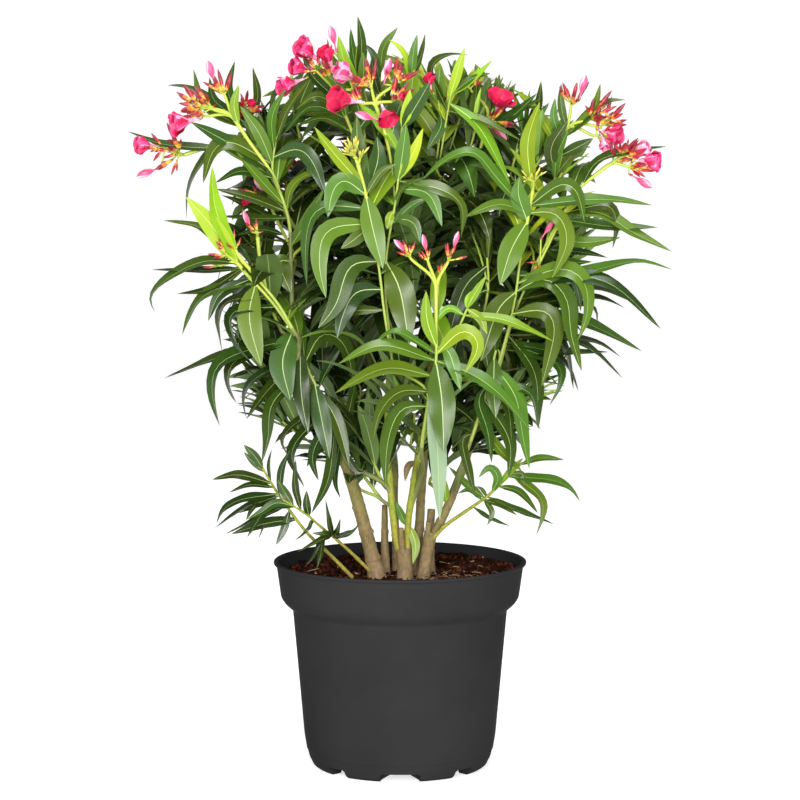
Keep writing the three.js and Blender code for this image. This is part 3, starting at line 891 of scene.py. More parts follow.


# ==== shoots: how the crown grows ====

# The shoots that stand out. All places were read from the photograph, as (across, down) in the
# camera's 800 by 800 view, and lie at the shoot's own depth in millimetres, which is guessed. Each has its
# stem from the tip down, or the limb that it is; its leaves, each (width, tone, places from its foot to its
# point), with the width below 0 where the leaf bends away; the hubs of its flower head, each (across, down,
# count of buds, their reach); its open flowers, each (across, down, size, facing across, facing up, gape,
# tint); and its buds about to open, each (across, down, facing across, up).
# Each leaf's tone is partly its own colour and partly painted shade and light: leaves that lie in shade, such
# as those of left_stem, are given darker tones, and leaves that catch the light, such as those of
# low_right_spray, brighter ones. A shoot's youth value, which sets the tones of its leaves by rule, is set
# low in the same way for shoots in shade.
PLACED_SHOOTS = {
    "left_leader": dict(
        mass="foliage_top_left", depth=-50, youth_and_shade=0.6,
        stem=[(277, 138), (273, 172), (283, 200), (290, 226), (291, 262), (292, 300), (293, 330), (298, 352)],
        leaves=[(13, "fresh", (274, 165), (260, 135), (241, 108)),
                (9, "fresh", (276, 152), (273, 118), (287, 91)),
                (7, "mid", (278, 145), (288, 112), (310, 82)),
                (9, "fresh", (285, 203), (262, 182), (237, 153)),
                (14, "dark", (266, 170), (232, 146), (192, 124)),
                (15, "mid", (268, 166), (232, 143), (214, 152), (204, 184)),
                (5, "dark", (268, 166), (228, 141), (192, 180), (187, 219)),
                (8, "dark", (275, 178), (242, 172), (216, 184)),
                (8, "dark", (287, 213), (250, 198), (216, 190)),
                (5, "dark", (289, 222), (255, 219), (222, 217)),
                (16, "dark", (277, 160), (298, 150), (313, 163), (326, 196)),
                (7, "fresh", (288, 212), (291, 190), (305, 177), (328, 172)),
                (12, "fresh", (291, 250), (305, 225), (324, 190)),
                (27, "mid", (292, 331), (282, 362), (290, 400)),
                (18, "mid", (291, 262), (279, 262), (291, 293)),
                (5, "dark", (292, 335), (225, 355), (164, 378)),
                (11, "dark", (293, 338), (222, 360), (211, 390), (219, 426)),
                (9, "deep", (295, 340), (235, 360), (227, 385), (236, 403))]),
    "left_stem": dict(
        mass="foliage_middle_left", depth=-40, youth_and_shade=0.3,
        stem=[(300, 346), (308, 370), (318, 390), (330, 418), (344, 456)],
        leaves=[(17, "deep", (300, 346), (301, 395), (308, 434)),
                (5, "deep", (302, 352), (252, 380), (243, 400), (246, 419)),
                (9, "deep", (304, 358), (266, 392), (246, 419)),
                (12, "dark", (308, 368), (272, 402), (268, 436), (261, 463)),
                (19, "dark", (316, 384), (321, 418), (329, 458)),
                (14, "dark", (318, 390), (336, 420), (349, 466)),
                (8, "deep", (324, 408), (291, 450), (304, 488)),
                (10, "deep", (328, 415), (312, 455), (318, 481)),
                (5, "deep", (322, 405), (283, 435), (288, 457)),
                (9, "dark", (336, 432), (328, 480), (311, 514)),
                (5, "deep", (340, 445), (334, 480), (340, 499)),
                (7, "deep", (343, 452), (358, 473), (367, 470)),
                (14, "dark", (306, 362), (322, 333), (345, 345), (354, 386))]),
    "far_left_flowers": dict(
        mass="foliage_top_left", depth=-34, youth_and_shade=0.5,
        stem=[(186, 156), (214, 149), (245, 158), (273, 180)],
        leaves=[(5, "dark", (224, 149), (165, 146), (129, 133))],
        hubs=[(182, 155, 8, 22), (166, 150, 6, 16)],
        flowers=[(143, 147, 22, -1, 0.1, 0.25, "rose")],
        pink=[(150, 173, -1, -0.4)]),
    "left_flowers": dict(
        mass="foliage_top_left", depth=-62, youth_and_shade=0.6,
        stem=[(236, 122), (252, 146), (273, 174)],
        leaves=[(9, "bright", (238, 130), (235, 108), (240, 87))],
        hubs=[(215, 112, 9, 28), (226, 98, 6, 22), (200, 108, 6, 24), (205, 118, 4, 14)],
        flowers=[(180, 125, 25, -1, -0.2, 0.35, "rose")],
        pink=[(213, 76, -0.3, 1)]),
    "left_back": dict(
        mass="foliage_top_left", depth=15, youth_and_shade=0.5,
        stem=[(246, 108), (252, 145), (268, 180), (285, 215)],
        leaves=[(8, "fresh", (247, 130), (205, 108), (195, 72)), (8, "mid", (247, 122), (229, 95), (236, 64)),
                (8, "dark", (248, 125), (259, 100), (254, 70)), (6, "dark", (248, 130), (195, 92), (169, 88)),
                (9, "dark", (247, 120), (216, 104), (211, 80))],
        hubs=[(247, 112, 5, 14)],
        flowers=[(252, 106, 11, 0.5, 0.6, 0.2, "crimson")]),
    "left_yellow_buds": dict(
        mass="foliage_middle_left", depth=-84, youth_and_shade=0.9, buds="brown",
        stem=[(238, 264), (251, 279), (272, 302), (292, 329)],
        leaves=[(20, "young", (236, 261), (212, 226), (187, 198)),
                (13, "young", (237, 257), (216, 210), (213, 168)),
                (5, "mid", (237, 262), (203, 229), (164, 221)),
                (6, "mid", (240, 266), (205, 261), (170, 277), (149, 297), (155, 312)),
                (3, "deep", (240, 268), (200, 271), (152, 270)),
                (5, "deep", (243, 270), (208, 290), (177, 294)),
                (7, "mid", (256, 286), (222, 287), (196, 303), (182, 335)),
                (11, "deep", (250, 279), (220, 294), (208, 321)),
                (4, "deep", (264, 294), (223, 303), (219, 330), (222, 352)),
                (3, "deep", (266, 296), (232, 312), (226, 333)),
                (7, "deep", (274, 306), (231, 312), (234, 340), (250, 361)),
                (24, "fresh", (256, 286), (249, 318), (261, 366))],
        hubs=[(228, 256, 6, 17), (220, 266, 4, 16), (234, 246, 3, 12)]),
    "left_yellow_fork": dict(
        mass="foliage_middle_left", depth=-88, youth_and_shade=0.8, buds="brown",
        stem=[(240, 258), (262, 284), (278, 304), (292, 328)],
        hubs=[(236, 250, 3, 12)]),
    "left_pink_pair": dict(
        mass="foliage_middle_left", depth=-76, youth_and_shade=0.8, buds="brown",
        stem=[(258, 238), (260, 258), (266, 288)],
        hubs=[(258, 234, 3, 10)],
        pink=[(248, 222, -0.4, 1)]),
    "left_inner_buds": dict(
        mass="foliage_middle_left", depth=0, youth_and_shade=0.3,
        stem=[(268, 200), (278, 222), (292, 250)],
        leaves=[(6, "dark", (276, 220), (245, 205), (222, 196)),
                (7, "dark", (285, 236), (262, 230), (236, 236))],
        hubs=[(264, 196, 3, 16)],
        flowers=[(247, 202, 12, -1, 0.1, 0.2, "crimson")],
        pink=[(262, 188, -0.5, 0.8)]),
    "top_flowers": dict(
        mass="foliage_top_centre", depth=-34, youth_and_shade=0.5,
        stem=[(336, 96), (350, 128), (364, 170)],
        leaves=[(9, "deep", (340, 104), (314, 80), (303, 58)),
                (10, "fresh", (356, 118), (338, 88), (313, 67)),
                (6, "mid", (348, 124), (320, 114), (290, 120)),
                (6, "mid", (352, 132), (325, 120), (296, 128)),
                (8, "mid", (346, 120), (312, 108), (285, 135)),
                (9, "mid", (344, 116), (318, 98), (296, 112))],
        hubs=[(330, 82, 5, 14), (318, 74, 4, 14), (352, 92, 5, 20)],
        flowers=[(306, 53, 26, -0.6, 0.5, 0.2, "rose"), (298, 70, 22, -0.8, 0.1, 0.2, "rose"),
                 (287, 88, 24, -0.8, -0.3, 0.3, "rose"), (327, 57, 21, -0.4, 0.9, 0.2, "crimson"),
                 (343, 76, 27, -0.9, 0.4, 0.1, "pale")],
        pink=[(334, 42, -0.25, 1)]),
    "centre_flowers": dict(
        mass="foliage_top_centre", depth=-96, youth_and_shade=0.5,
        stem=[(376, 108), (386, 138), (392, 170), (395, 200)],
        hubs=[(372, 92, 5, 18), (393, 88, 6, 16), (362, 106, 4, 16), (392, 104, 4, 10)],
        flowers=[(340, 102, 28, -0.9, 0.1, 0.5, "crimson"), (387, 120, 22, 0.2, -0.5, 0.45, "crimson"),
                 (402, 98, 9, 0.8, 0.1, 0.2, "crimson")],
        pink=[(387, 74, 0.25, 1), (368, 119, -0.9, 0.3)]),
    "top_spire": dict(
        mass="foliage_top_centre", depth=-14, youth_and_shade=0.6,
        stem=[(359, 82), (362, 112), (366, 150), (368, 190)],
        leaves=[(9, "dark", (360, 80), (362, 48), (358, 20)), (8, "mid", (359, 86), (353, 55), (351, 32)),
                (7, "bright", (359, 84), (354, 62), (365, 42)),
                (12, "fresh", (361, 100), (364, 78), (363, 55)),
                (13, "young", (360, 95), (345, 65), (339, 39)),
                (6, "fresh", (360, 92), (332, 62), (328, 42))]),
    "top_spire_back": dict(
        mass="foliage_top_centre", depth=24, youth_and_shade=0.6,
        stem=[(380, 78), (380, 112), (378, 150)],
        leaves=[(9, "fresh", (380, 78), (384, 50), (398, 31)), (8, "mid", (381, 82), (374, 58), (364, 47)),
                (9, "dark", (380, 98), (374, 78), (372, 60))]),
    "top_bright": dict(
        mass="foliage_top_centre", depth=-64, youth_and_shade=0.8,
        stem=[(411, 84), (408, 112), (402, 150), (400, 190)],
        leaves=[(6, "young", (411, 84), (404, 56), (389, 43)), (9, "fresh", (411, 82), (413, 58), (417, 38)),
                (5, "dark", (412, 82), (421, 58), (425, 37)),
                (16, "bright", (408, 112), (411, 95), (414, 72))]),
    "centre_bright": dict(
        mass="foliage_top_front", depth=-112, youth_and_shade=0.9,
        stem=[(402, 130), (400, 156), (398, 182), (395, 206), (390, 232), (386, 262), (386, 300), (392, 350)],
        leaves=[(11, "young", (402, 130), (407, 112), (410, 92)),
                (15, "fresh", (399, 182), (403, 152), (406, 126)),
                (11, "young", (400, 182), (413, 155), (423, 130)),
                (8, "mid", (400, 178), (418, 152), (413, 130)),
                (15, "dark", (402, 130), (416, 108), (430, 84)),
                (9, "bright", (393, 212), (391, 215), (387, 230)),
                (12, "mid", (392, 220), (413, 223), (420, 243)),
                (14, "fresh", (398, 188), (428, 194), (442, 227)),
                (9, "mid", (399, 184), (440, 190), (462, 206), (461, 238)),
                (5, "mid", (390, 214), (402, 190), (424, 178)),
                (8, "mid", (392, 222), (412, 206), (430, 199)),
                (28, "mid", (386, 258), (400, 290), (409, 345)),
                (8, "bright", (386, 296), (402, 297), (420, 314))]),
    "centre_yellow_buds": dict(
        mass="foliage_front_left", depth=-124, youth_and_shade=0.7, buds="yellow",
        stem=[(358, 166), (366, 196), (373, 232), (380, 276), (384, 310), (392, 360)],
        leaves=[(22, "fresh", (367, 198), (373, 230), (383, 269)),
                (19, "fresh", (366, 194), (345, 181), (333, 192), (328, 218)),
                (12, "bright", (365, 190), (332, 152), (315, 129)),
                (-17, "mid", (366, 192), (358, 150), (357, 117)),
                (-19, "dark", (367, 192), (378, 162), (377, 138)),
                (8, "mid", (367, 194), (382, 172), (397, 165)),
                (20, "fresh", (371, 222), (328, 230), (319, 262), (326, 298)),
                (10, "mid", (369, 212), (319, 208), (306, 240), (307, 286)),
                (14, "mid", (374, 226), (357, 238), (341, 249)),
                (22, "dark", (380, 264), (350, 266), (336, 305), (318, 328)),
                (20, "deep", (382, 288), (356, 292), (343, 315), (337, 338)),
                (8, "dark", (384, 310), (350, 312), (322, 330))],
        hubs=[(355, 158, 10, 17), (360, 162, 6, 12)]),
    "right_red_buds": dict(
        mass="foliage_top_right", depth=-40, youth_and_shade=0.7,
        stem=[(438, 100), (440, 130), (436, 165)],
        leaves=[(14, "fresh", (439, 110), (438, 92), (440, 66)),
                (11, "mid", (439, 112), (441, 128), (427, 151))],
        flowers=[(429, 82, 14, -0.2, 0.9, 0.3, "crimson")]),
    "right_spire": dict(
        mass="foliage_top_right", depth=-46, youth_and_shade=0.9,
        stem=[(450, 98), (446, 122), (440, 160)],
        leaves=[(10, "young", (450, 100), (456, 78), (464, 51)),
                (6, "young", (450, 98), (472, 82), (492, 63)),
                (5, "dark", (448, 112), (430, 72), (446, 58), (467, 58)),
                (7, "mid", (450, 97), (470, 82), (490, 76)),
                (10, "bright", (449, 102), (478, 128), (510, 186)),
                (6, "mid", (448, 110), (480, 122), (520, 142))]),
    "right_back_flowers": dict(
        mass="foliage_top_right", depth=6, youth_and_shade=0.5,
        stem=[(487, 120), (480, 150), (470, 190)],
        leaves=[(6, "dark", (486, 124), (515, 114), (540, 101)),
                (9, "dark", (484, 132), (512, 118), (536, 96))],
        hubs=[(490, 124, 5, 16), (470, 92, 3, 10)],
        flowers=[(500, 101, 24, 0.2, 0.6, 0.7, "crimson"), (458, 76, 8, 0, 1, 0.2, "pale")],
        pink=[(496, 134, 0.7, -0.5)]),
    "right_back": dict(
        mass="foliage_top_right", depth=34, youth_and_shade=0.5,
        stem=[(524, 130), (520, 160), (510, 200)],
        leaves=[(9, "dark", (524, 134), (537, 108), (540, 84)),
                (8, "dark", (523, 140), (505, 120), (498, 100))]),
    "right_yellow_buds": dict(
        mass="foliage_front_right", depth=-86, youth_and_shade=0.9, buds="yellow",
        stem=[(532, 192), (527, 222), (520, 260), (516, 292), (508, 330), (496, 372), (484, 410)],
        leaves=[(24, "fresh", (525, 220), (511, 250), (500, 285)),
                (18, "fresh", (526, 218), (518, 196), (519, 178)),
                (14, "bright", (526, 186), (527, 145), (539, 104)),
                (10, "fresh", (526, 216), (498, 205), (464, 218)),
                (8, "fresh", (528, 214), (490, 172), (476, 152), (448, 159), (420, 183)),
                (16, "fresh", (528, 218), (556, 214), (567, 242), (552, 278)),
                (13, "mid", (530, 205), (560, 185), (576, 192), (584, 223)),
                (7, "fresh", (530, 208), (600, 200), (652, 206)),
                (24, "mid", (515, 288), (498, 310), (481, 361)),
                (17, "mid", (516, 292), (545, 277), (568, 300), (570, 330), (582, 371)),
                (11, "deep", (517, 290), (560, 277), (610, 283), (661, 329)),
                (18, "mid", (512, 314), (545, 310), (555, 330), (542, 386)),
                (15, "fresh", (518, 285), (560, 268), (584, 280), (588, 312), (578, 340)),
                (5, "fresh", (519, 280), (583, 273), (635, 261), (672, 270))],
        hubs=[(533, 184, 8, 16)]),
    "right_leafy": dict(
        mass="foliage_middle_right", depth=-62, youth_and_shade=0.6, buds="brown",
        stem=[(563, 214), (550, 238), (534, 268), (520, 300)],
        leaves=[(10, "fresh", (562, 215), (600, 213), (630, 232), (671, 252)),
                (8, "mid", (561, 220), (610, 227), (657, 228)),
                (9, "dark", (562, 216), (606, 205), (616, 222), (612, 249)),
                (11, "fresh", (552, 236), (585, 243), (620, 238)),
                (6, "deep", (545, 250), (585, 253), (607, 258)),
                (6, "young", (563, 214), (572, 206), (582, 202)),
                (7, "mid", (546, 252), (570, 262), (592, 262))],
        hubs=[(540, 262, 4, 10)],
        pink=[(547, 230, 0.6, 0.9)]),
    "right_flowers": dict(
        mass="foliage_top_far_right", depth=-24, youth_and_shade=0.6,
        stem=[(566, 132), (557, 170), (546, 215)],
        leaves=[(8, "mid", (565, 134), (560, 108), (560, 86)),
                (9, "fresh", (564, 142), (553, 122), (554, 100)),
                (8, "fresh", (565, 136), (592, 112), (599, 86)),
                (6, "dark", (565, 136), (600, 106), (624, 102)),
                (9, "fresh", (556, 185), (556, 158), (568, 130)),
                (14, "dark", (557, 178), (550, 150), (567, 122)),
                (12, "dark", (560, 160), (578, 148), (592, 140))],
        hubs=[(588, 122, 9, 28), (570, 108, 6, 20), (600, 128, 6, 22), (594, 138, 4, 16)],
        flowers=[(614, 136, 22, 0.7, -0.2, 0.3, "rose"), (604, 146, 15, 0.3, -0.8, 0.3, "pale")],
        pink=[(581, 90, 0.25, 1)]),
    "far_right_flowers": dict(
        mass="foliage_top_far_right", depth=-44, youth_and_shade=0.6,
        stem=[(608, 166), (582, 186), (556, 212)],
        leaves=[(5, "dark", (580, 188), (600, 160), (665, 148))],
        hubs=[(612, 164, 9, 24), (620, 158, 7, 20), (628, 168, 7, 18)],
        flowers=[(652, 162, 23, 1, 0, 0.15, "rose"), (642, 150, 22, 0.85, 0.3, 0.05, "pale")],
        pink=[(640, 182, 0.85, -0.5)]),
    "right_drooping": dict(
        mass="foliage_middle_right", depth=-50, youth_and_shade=0.2,
        stem=[(518, 300), (508, 335), (498, 372), (486, 410)],
        leaves=[(4, "deep", (516, 308), (592, 297), (625, 308)),
                (9, "mid", (514, 314), (578, 320), (642, 351)),
                (4, "deep", (508, 332), (590, 340), (621, 357)),
                (4, "dark", (509, 330), (580, 342), (623, 378)),
                (5, "mid", (506, 342), (560, 352), (609, 352)),
                (6, "deep", (508, 332), (560, 340), (574, 389)),
                (5, "deep", (504, 348), (560, 358), (579, 391)),
                (9, "mid", (506, 342), (556, 362), (562, 380), (550, 405)),
                (2.5, "dark", (517, 302), (590, 288), (637, 304)),
                (12, "dark", (508, 335), (535, 372), (539, 429)),
                (5, "deep", (516, 306), (590, 305), (597, 326))]),
    "right_stem": dict(
        mass="foliage_low_front", depth=-100, youth_and_shade=0.3,
        stem=[(496, 350), (488, 385), (478, 420), (466, 455)],
        leaves=[(18, "mid", (494, 358), (494, 390), (496, 418)),
                (14, "fresh", (493, 366), (516, 396), (522, 430), (530, 469)),
                (9, "fresh", (478, 420), (500, 450), (523, 472)),
                (13, "dark", (484, 400), (510, 440), (509, 478)),
                (11, "dark", (488, 384), (478, 400), (488, 430), (492, 463)),
                (8, "dark", (474, 432), (462, 440), (476, 498)),
                (10, "dark", (490, 378), (508, 405), (512, 440)),
                (6, "dark", (488, 385), (530, 392), (538, 428))]),
    "front_buds": dict(
        mass="foliage_low_front", depth=-152, youth_and_shade=0.7, buds="brown",
        stem=[(436, 290), (436, 325), (436, 361), (430, 392), (424, 430)],
        leaves=[(13, "bright", (434, 350), (427, 320), (426, 291)),
                (14, "fresh", (437, 345), (448, 350), (461, 390)),
                (15, "bright", (438, 352), (463, 330), (479, 345), (465, 373)),
                (10, "fresh", (434, 358), (382, 345), (338, 364)),
                (5, "fresh", (434, 354), (395, 331), (373, 346)),
                (11, "fresh", (432, 376), (385, 368), (335, 393)),
                (27, "mid", (436, 362), (442, 400), (444, 452)),
                (18, "pale", (434, 380), (438, 460), (440, 521)),
                (10, "mid", (430, 390), (400, 391), (380, 412), (373, 441)),
                (14, "mid", (428, 405), (402, 408), (388, 440), (385, 486)),
                (9, "fresh", (436, 364), (468, 372), (500, 394), (531, 431))],
        hubs=[(410, 258, 6, 13), (428, 262, 4, 10), (448, 262, 6, 13), (440, 276, 3, 7)],
        pink=[(402, 248, -0.8, 0.8), (425, 246, -0.2, 1), (455, 243, 0.3, 1)]),
    "front_young": dict(
        mass="foliage_low_front", depth=-140, youth_and_shade=1.0,
        stem=[(467, 309), (456, 334), (446, 358), (436, 385)],
        leaves=[(8, "bright", (467, 308), (474, 295), (486, 276)),
                (7, "bright", (466, 313), (448, 308), (432, 326)),
                (9, "bright", (466, 312), (480, 318), (487, 334)),
                (6, "bright", (466, 313), (505, 320), (553, 341)),
                (6, "young", (467, 308), (468, 298), (474, 290))]),
    "centre_dark": dict(
        mass="foliage_front_right", depth=-70, youth_and_shade=0.1,
        stem=[(487, 258), (488, 290), (480, 330)],
        leaves=[(17, "deep", (487, 268), (464, 288), (448, 340)),
                (14, "deep", (488, 290), (470, 300), (452, 360))]),
    "low_right_leaf": dict(
        mass="foliage_low_front", depth=-16, limb="bough_right",
        leaves=[(8, "bright", (450, 506), (446, 496), (446, 480))]),
    "low_centre_leaves": dict(
        mass="foliage_low_front", depth=-18, limb="bough_centre_right",
        leaves=[(7, "dry", (413, 457), (408, 466), (405, 482)),
                (8, "fresh", (411, 526), (402, 517), (396, 502)),
                (9, "bright", (409, 524), (416, 545), (413, 565))]),
    "low_left_spray": dict(
        mass="foliage_low_spray_left", depth=-50, limb="side_shoot_left_low",
        leaves=[(9, "dark", (262, 468), (253, 455), (243, 445)),
                (6, "dark", (264, 472), (252, 462), (243, 452)),
                (8, "deep", (271, 484), (238, 475), (211, 480)),
                (4, "deep", (273, 488), (250, 485), (228, 493)),
                (6, "deep", (278, 494), (240, 500), (222, 510), (215, 525)),
                (6, "deep", (279, 496), (255, 505), (245, 521)),
                (2, "deep", (281, 499), (250, 505), (213, 529)),
                (3, "deep", (283, 502), (262, 505), (237, 514)),
                (2, "deep", (286, 506), (260, 518), (224, 535)),
                (8, "deep", (290, 511), (283, 530), (275, 546)),
                (7, "deep", (279, 496), (281, 470), (289, 451)),
                (3, "deep", (271, 482), (268, 465), (271, 450)),
                (9, "deep", (298, 520), (265, 524), (230, 535)),
                (2, "deep", (296, 518), (268, 522), (257, 540))]),
    "low_near_spray": dict(
        mass="foliage_low_spray_near", depth=-72, limb="side_shoot_left_high",
        leaves=[(9, "dark", (291, 507), (284, 493), (277, 480)),
                (7, "deep", (292, 508), (268, 508), (246, 538)),
                (6, "deep", (300, 512), (294, 485), (295, 460)),
                (8, "deep", (310, 519), (306, 505), (306, 491)),
                (8, "dark", (293, 509), (275, 503), (262, 512), (246, 520)),
                (4, "dark", (342, 548), (328, 522), (325, 500)),
                (6, "deep", (342, 547), (337, 532), (340, 519)),
                (4, "dark", (344, 549), (352, 533), (359, 524)),
                (6, "deep", (330, 537), (320, 556), (316, 570)),
                (3, "deep", (332, 539), (314, 556), (305, 567)),
                (6, "dark", (340, 546), (324, 535), (311, 534)),
                (3, "dark", (340, 546), (318, 542), (297, 553)),
                (2, "deep", (318, 525), (303, 535), (294, 541)),
                (4, "deep", (316, 523), (308, 530), (303, 532))]),
    "low_right_spray": dict(
        mass="foliage_low_spray_right", depth=-40, limb="side_shoot_right",
        leaves=[(6, "fresh", (521, 466), (540, 458), (565, 460)),
                (7, "fresh", (510, 478), (550, 480), (570, 487), (581, 502)),
                (7, "fresh", (512, 476), (541, 497), (544, 515), (537, 536)),
                (6, "mid", (498, 488), (520, 492), (539, 514)),
                (9, "fresh", (492, 493), (499, 478), (490, 467), (479, 478)),
                (4, "mid", (487, 498), (482, 489), (476, 487)),
                (7, "fresh", (485, 500), (466, 484), (449, 467)),
                (3, "mid", (487, 499), (510, 508), (555, 525)),
                (5, "mid", (483, 503), (500, 505), (518, 516)),
                (6, "mid", (484, 502), (493, 513), (488, 526)),
                (2.5, "mid", (472, 510), (490, 519), (511, 527)),
                (6, "mid", (512, 476), (523, 474), (525, 487)),
                (6, "bright", (500, 486), (512, 470), (524, 458)),
                (5, "mid", (482, 502), (470, 490), (458, 494))]),
}


SHOOT_STEP = 7.0
# How the placed shoots' own leaves grow by rule, apart from those in the table.
PLACED_YOUTH = 0.3
PLACED_LEAF = 118
PLACED_WHORLS = 5


class Shoot:
    """A leafy shoot: the places its stem passes, from the lowest to its tip, and how its leaves look. facts
    are what its row in PLACED_SHOOTS says, and leaves those that a shoot by rule has got."""

    def __init__(self, nodes, mass, youth_and_shade=0.5, leaf=128.0, whorls=6, facts=None):
        self.nodes = [np.asarray(n, float) for n in nodes]
        self.mass = mass
        self.youth_and_shade = youth_and_shade
        self.leaf = leaf
        self.whorls = whorls
        self.facts = facts or {}
        self.leaves = None
        self.path = smooth_path(self.nodes, SHOOT_STEP)


def placed_shoots():
    shoots = []
    for facts in PLACED_SHOOTS.values():
        if "limb" in facts:
            nodes = LIMBS[facts["limb"]].path
        else:
            nodes = [view_place(*place, facts["depth"]) for place in reversed(facts["stem"])]
        youth_and_shade = facts.get("youth_and_shade", PLACED_YOUTH)
        shoots.append(Shoot(nodes, facts["mass"], youth_and_shade, PLACED_LEAF, PLACED_WHORLS, facts))
    return shoots


# The crown's half width and lean to the right by height, for what grows by rule; placed leaves reach beyond.
CROWN_HEIGHTS = [318, 340, 375, 408, 464, 519, 574, 630, 685, 720, 750, 780, 800]
CROWN_HALVES = [60, 125, 158, 182, 197, 205, 211, 212, 206, 188, 152, 94, 46]
CROWN_LEAN = [0, 0, -3, -6, -2, 2, 8, 13, 6, 3, -3, -11, -12]
CROWN_DEEPER = 1.25             # its depth as a share of its width
CROWN_AXIS = vec(0, 0, 470)
FAN_FOOT = vec(0, -10, 250)     # the shoots fan out from here
LEAF_ROOM = 42.0
LOW_MASS = 440.0                # masses whose middle is lower get the shorter shoots
LOW_SHOOT = (45, 70)            # the shortest and longest straight part of a shoot
HIGH_SHOOT = (70, 100)
RULE_LEAF = (112, 138)
# How many more shoots each mass gets by rule, and how young they are. Their youth sets their leaves' tones;
# the low and inner masses get little of it, so their dark leaves are partly older colour and partly painted
# shade.
FILL = {
    "foliage_top_centre": (3, 0.5), "foliage_top_left": (9, 0.35), "foliage_top_right": (7, 0.45),
    "foliage_top_far_right": (4, 0.45), "foliage_top_front": (4, 0.5), "foliage_top_back": (10, 0.5),
    "foliage_middle_left": (6, 0.15), "foliage_middle_right": (7, 0.35), "foliage_front_left": (6, 0.2),
    "foliage_front_right": (6, 0.3), "foliage_back_left": (8, 0.35), "foliage_back_right": (8, 0.35),
    "foliage_low_left": (7, 0.0), "foliage_low_right": (5, 0.3), "foliage_low_front": (6, 0.2),
    "foliage_low_centre_left": (4, 0.05), "foliage_low_centre_right": (4, 0.05),
    "foliage_low_back_left": (6, 0.1), "foliage_low_back_right": (6, 0.1), "foliage_core": (18, 0.1),
}
MASSES = [*FILL, "foliage_low_spray_left", "foliage_low_spray_near", "foliage_low_spray_right"]


def in_crown(points):
    x, y, z = points.T
    half = np.interp(z, CROWN_HEIGHTS, CROWN_HALVES, left=0, right=0)
    lean = np.interp(z, CROWN_HEIGHTS, CROWN_LEAN)
    return bool(((np.abs(x - lean) < half) & (np.abs(y) < half * CROWN_DEEPER)).all())


def pulled_in(tip):
    """A shoot's tip, moved towards the pot's axis until its leaves have room in the crown."""
    x, y, z = tip
    room = np.interp(z, CROWN_HEIGHTS, CROWN_HALVES) - LEAF_ROOM
    lean = np.interp(z, CROWN_HEIGHTS, CROWN_LEAN)
    share = min(1, room / max(abs(x - lean), 1), room * CROWN_DEEPER / max(abs(y), 1))
    return vec(lean + (x - lean) * share, y * share, z)


def fill_shoots(rng):
    """More shoots for each mass, set round the outer part of the space of its solid."""
    shoots = []
    for mass, (count, youth_and_shade) in FILL.items():
        low, high = (np.array(corner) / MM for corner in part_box(mass))
        middle, half = (low + high) / 2, (high - low) / 2
        outward = unit((middle - CROWN_AXIS) * vec(1, 1, 0.6))
        for i in range(count):
            ring = spokes(outward, i * GOLDEN_TURN + rng.uniform(-0.3, 0.3))
            lean = unit(outward * rng.uniform(-0.5, 0.9) + ring * rng.uniform(0.5, 1.0))
            tip = pulled_in(middle + lean * half * rng.uniform(0.1, 0.62) + UP * 15)
            heading = unit(unit((tip - FAN_FOOT) * vec(1, 1, 0.8)) + rng.normal(size=3) * 0.12)
            length = rng.uniform(*(LOW_SHOOT if middle[2] < LOW_MASS else HIGH_SHOOT))
            age = np.clip(youth_and_shade + rng.normal() * 0.12, 0, 1)
            leaf = rng.uniform(*RULE_LEAF)
            shoots.append(Shoot([tip - heading * length, tip], mass, age, leaf, int(rng.integers(4, 7))))
    return shoots


TOO_FLAT = 400.0                # the cost, in millimetres of way, of a branch that climbs too little
PLACED_RISE = 0.6
RULE_RISE = 0.3
FEWEST_LEAVES = 5               # a shoot that grows by rule and keeps fewer is left out
BARE_WITHIN = 75.0              # how far from the pot's axis a branch may run below the crown
SHARPEST_TURN = math.radians(70)
TIP_RADIUS = 1.35
TWIG_SIDES = 8
OLIVE_FROM, BROWN_FROM = 2.15, 3.1  # the radii from which a branch is olive and brown
BRANCH_FROM = 240.0             # limbs that start lower bear branches on their upper half alone


class Skeleton:
    """The places on stems and boughs that a new shoot can grow from."""

    def __init__(self):
        self.places = np.zeros((0, 3))
        self.directions = np.zeros((0, 3))
        self.radii = np.zeros(0)

    def grow(self, path, radii, keep_from=0.0, keep_to=1.0):
        count = len(path)
        span = slice(int(count * keep_from), max(2, int(count * keep_to)), 2)
        self.places = np.vstack([self.places, path[span]])
        self.directions = np.vstack([self.directions, unit(np.gradient(path, axis=0))[span]])
        self.radii = np.concatenate([self.radii, np.asarray(radii)[span]])

    def best_start(self, goal, rise):
        """The place whose way to the goal is short, turns little from the bough it leaves, and climbs by at
        least this share of its length."""
        way = goal - self.places
        far = np.linalg.norm(way, axis=1)
        turn = 1 - (unit(way) * self.directions).sum(1)
        cost = far * (1 + 0.75 * turn) + np.where(way[:, 2] < rise * far, TOO_FLAT, 0)
        return int(np.argmin(cost))


def bare_skeleton():
    skeleton = Skeleton()
    for name, limb in LIMBS.items():
        if not name.startswith("side"):
            skeleton.grow(limb.path, limb.radii, 0.0 if limb.path[0][2] > BRANCH_FROM else 0.5)
    return skeleton


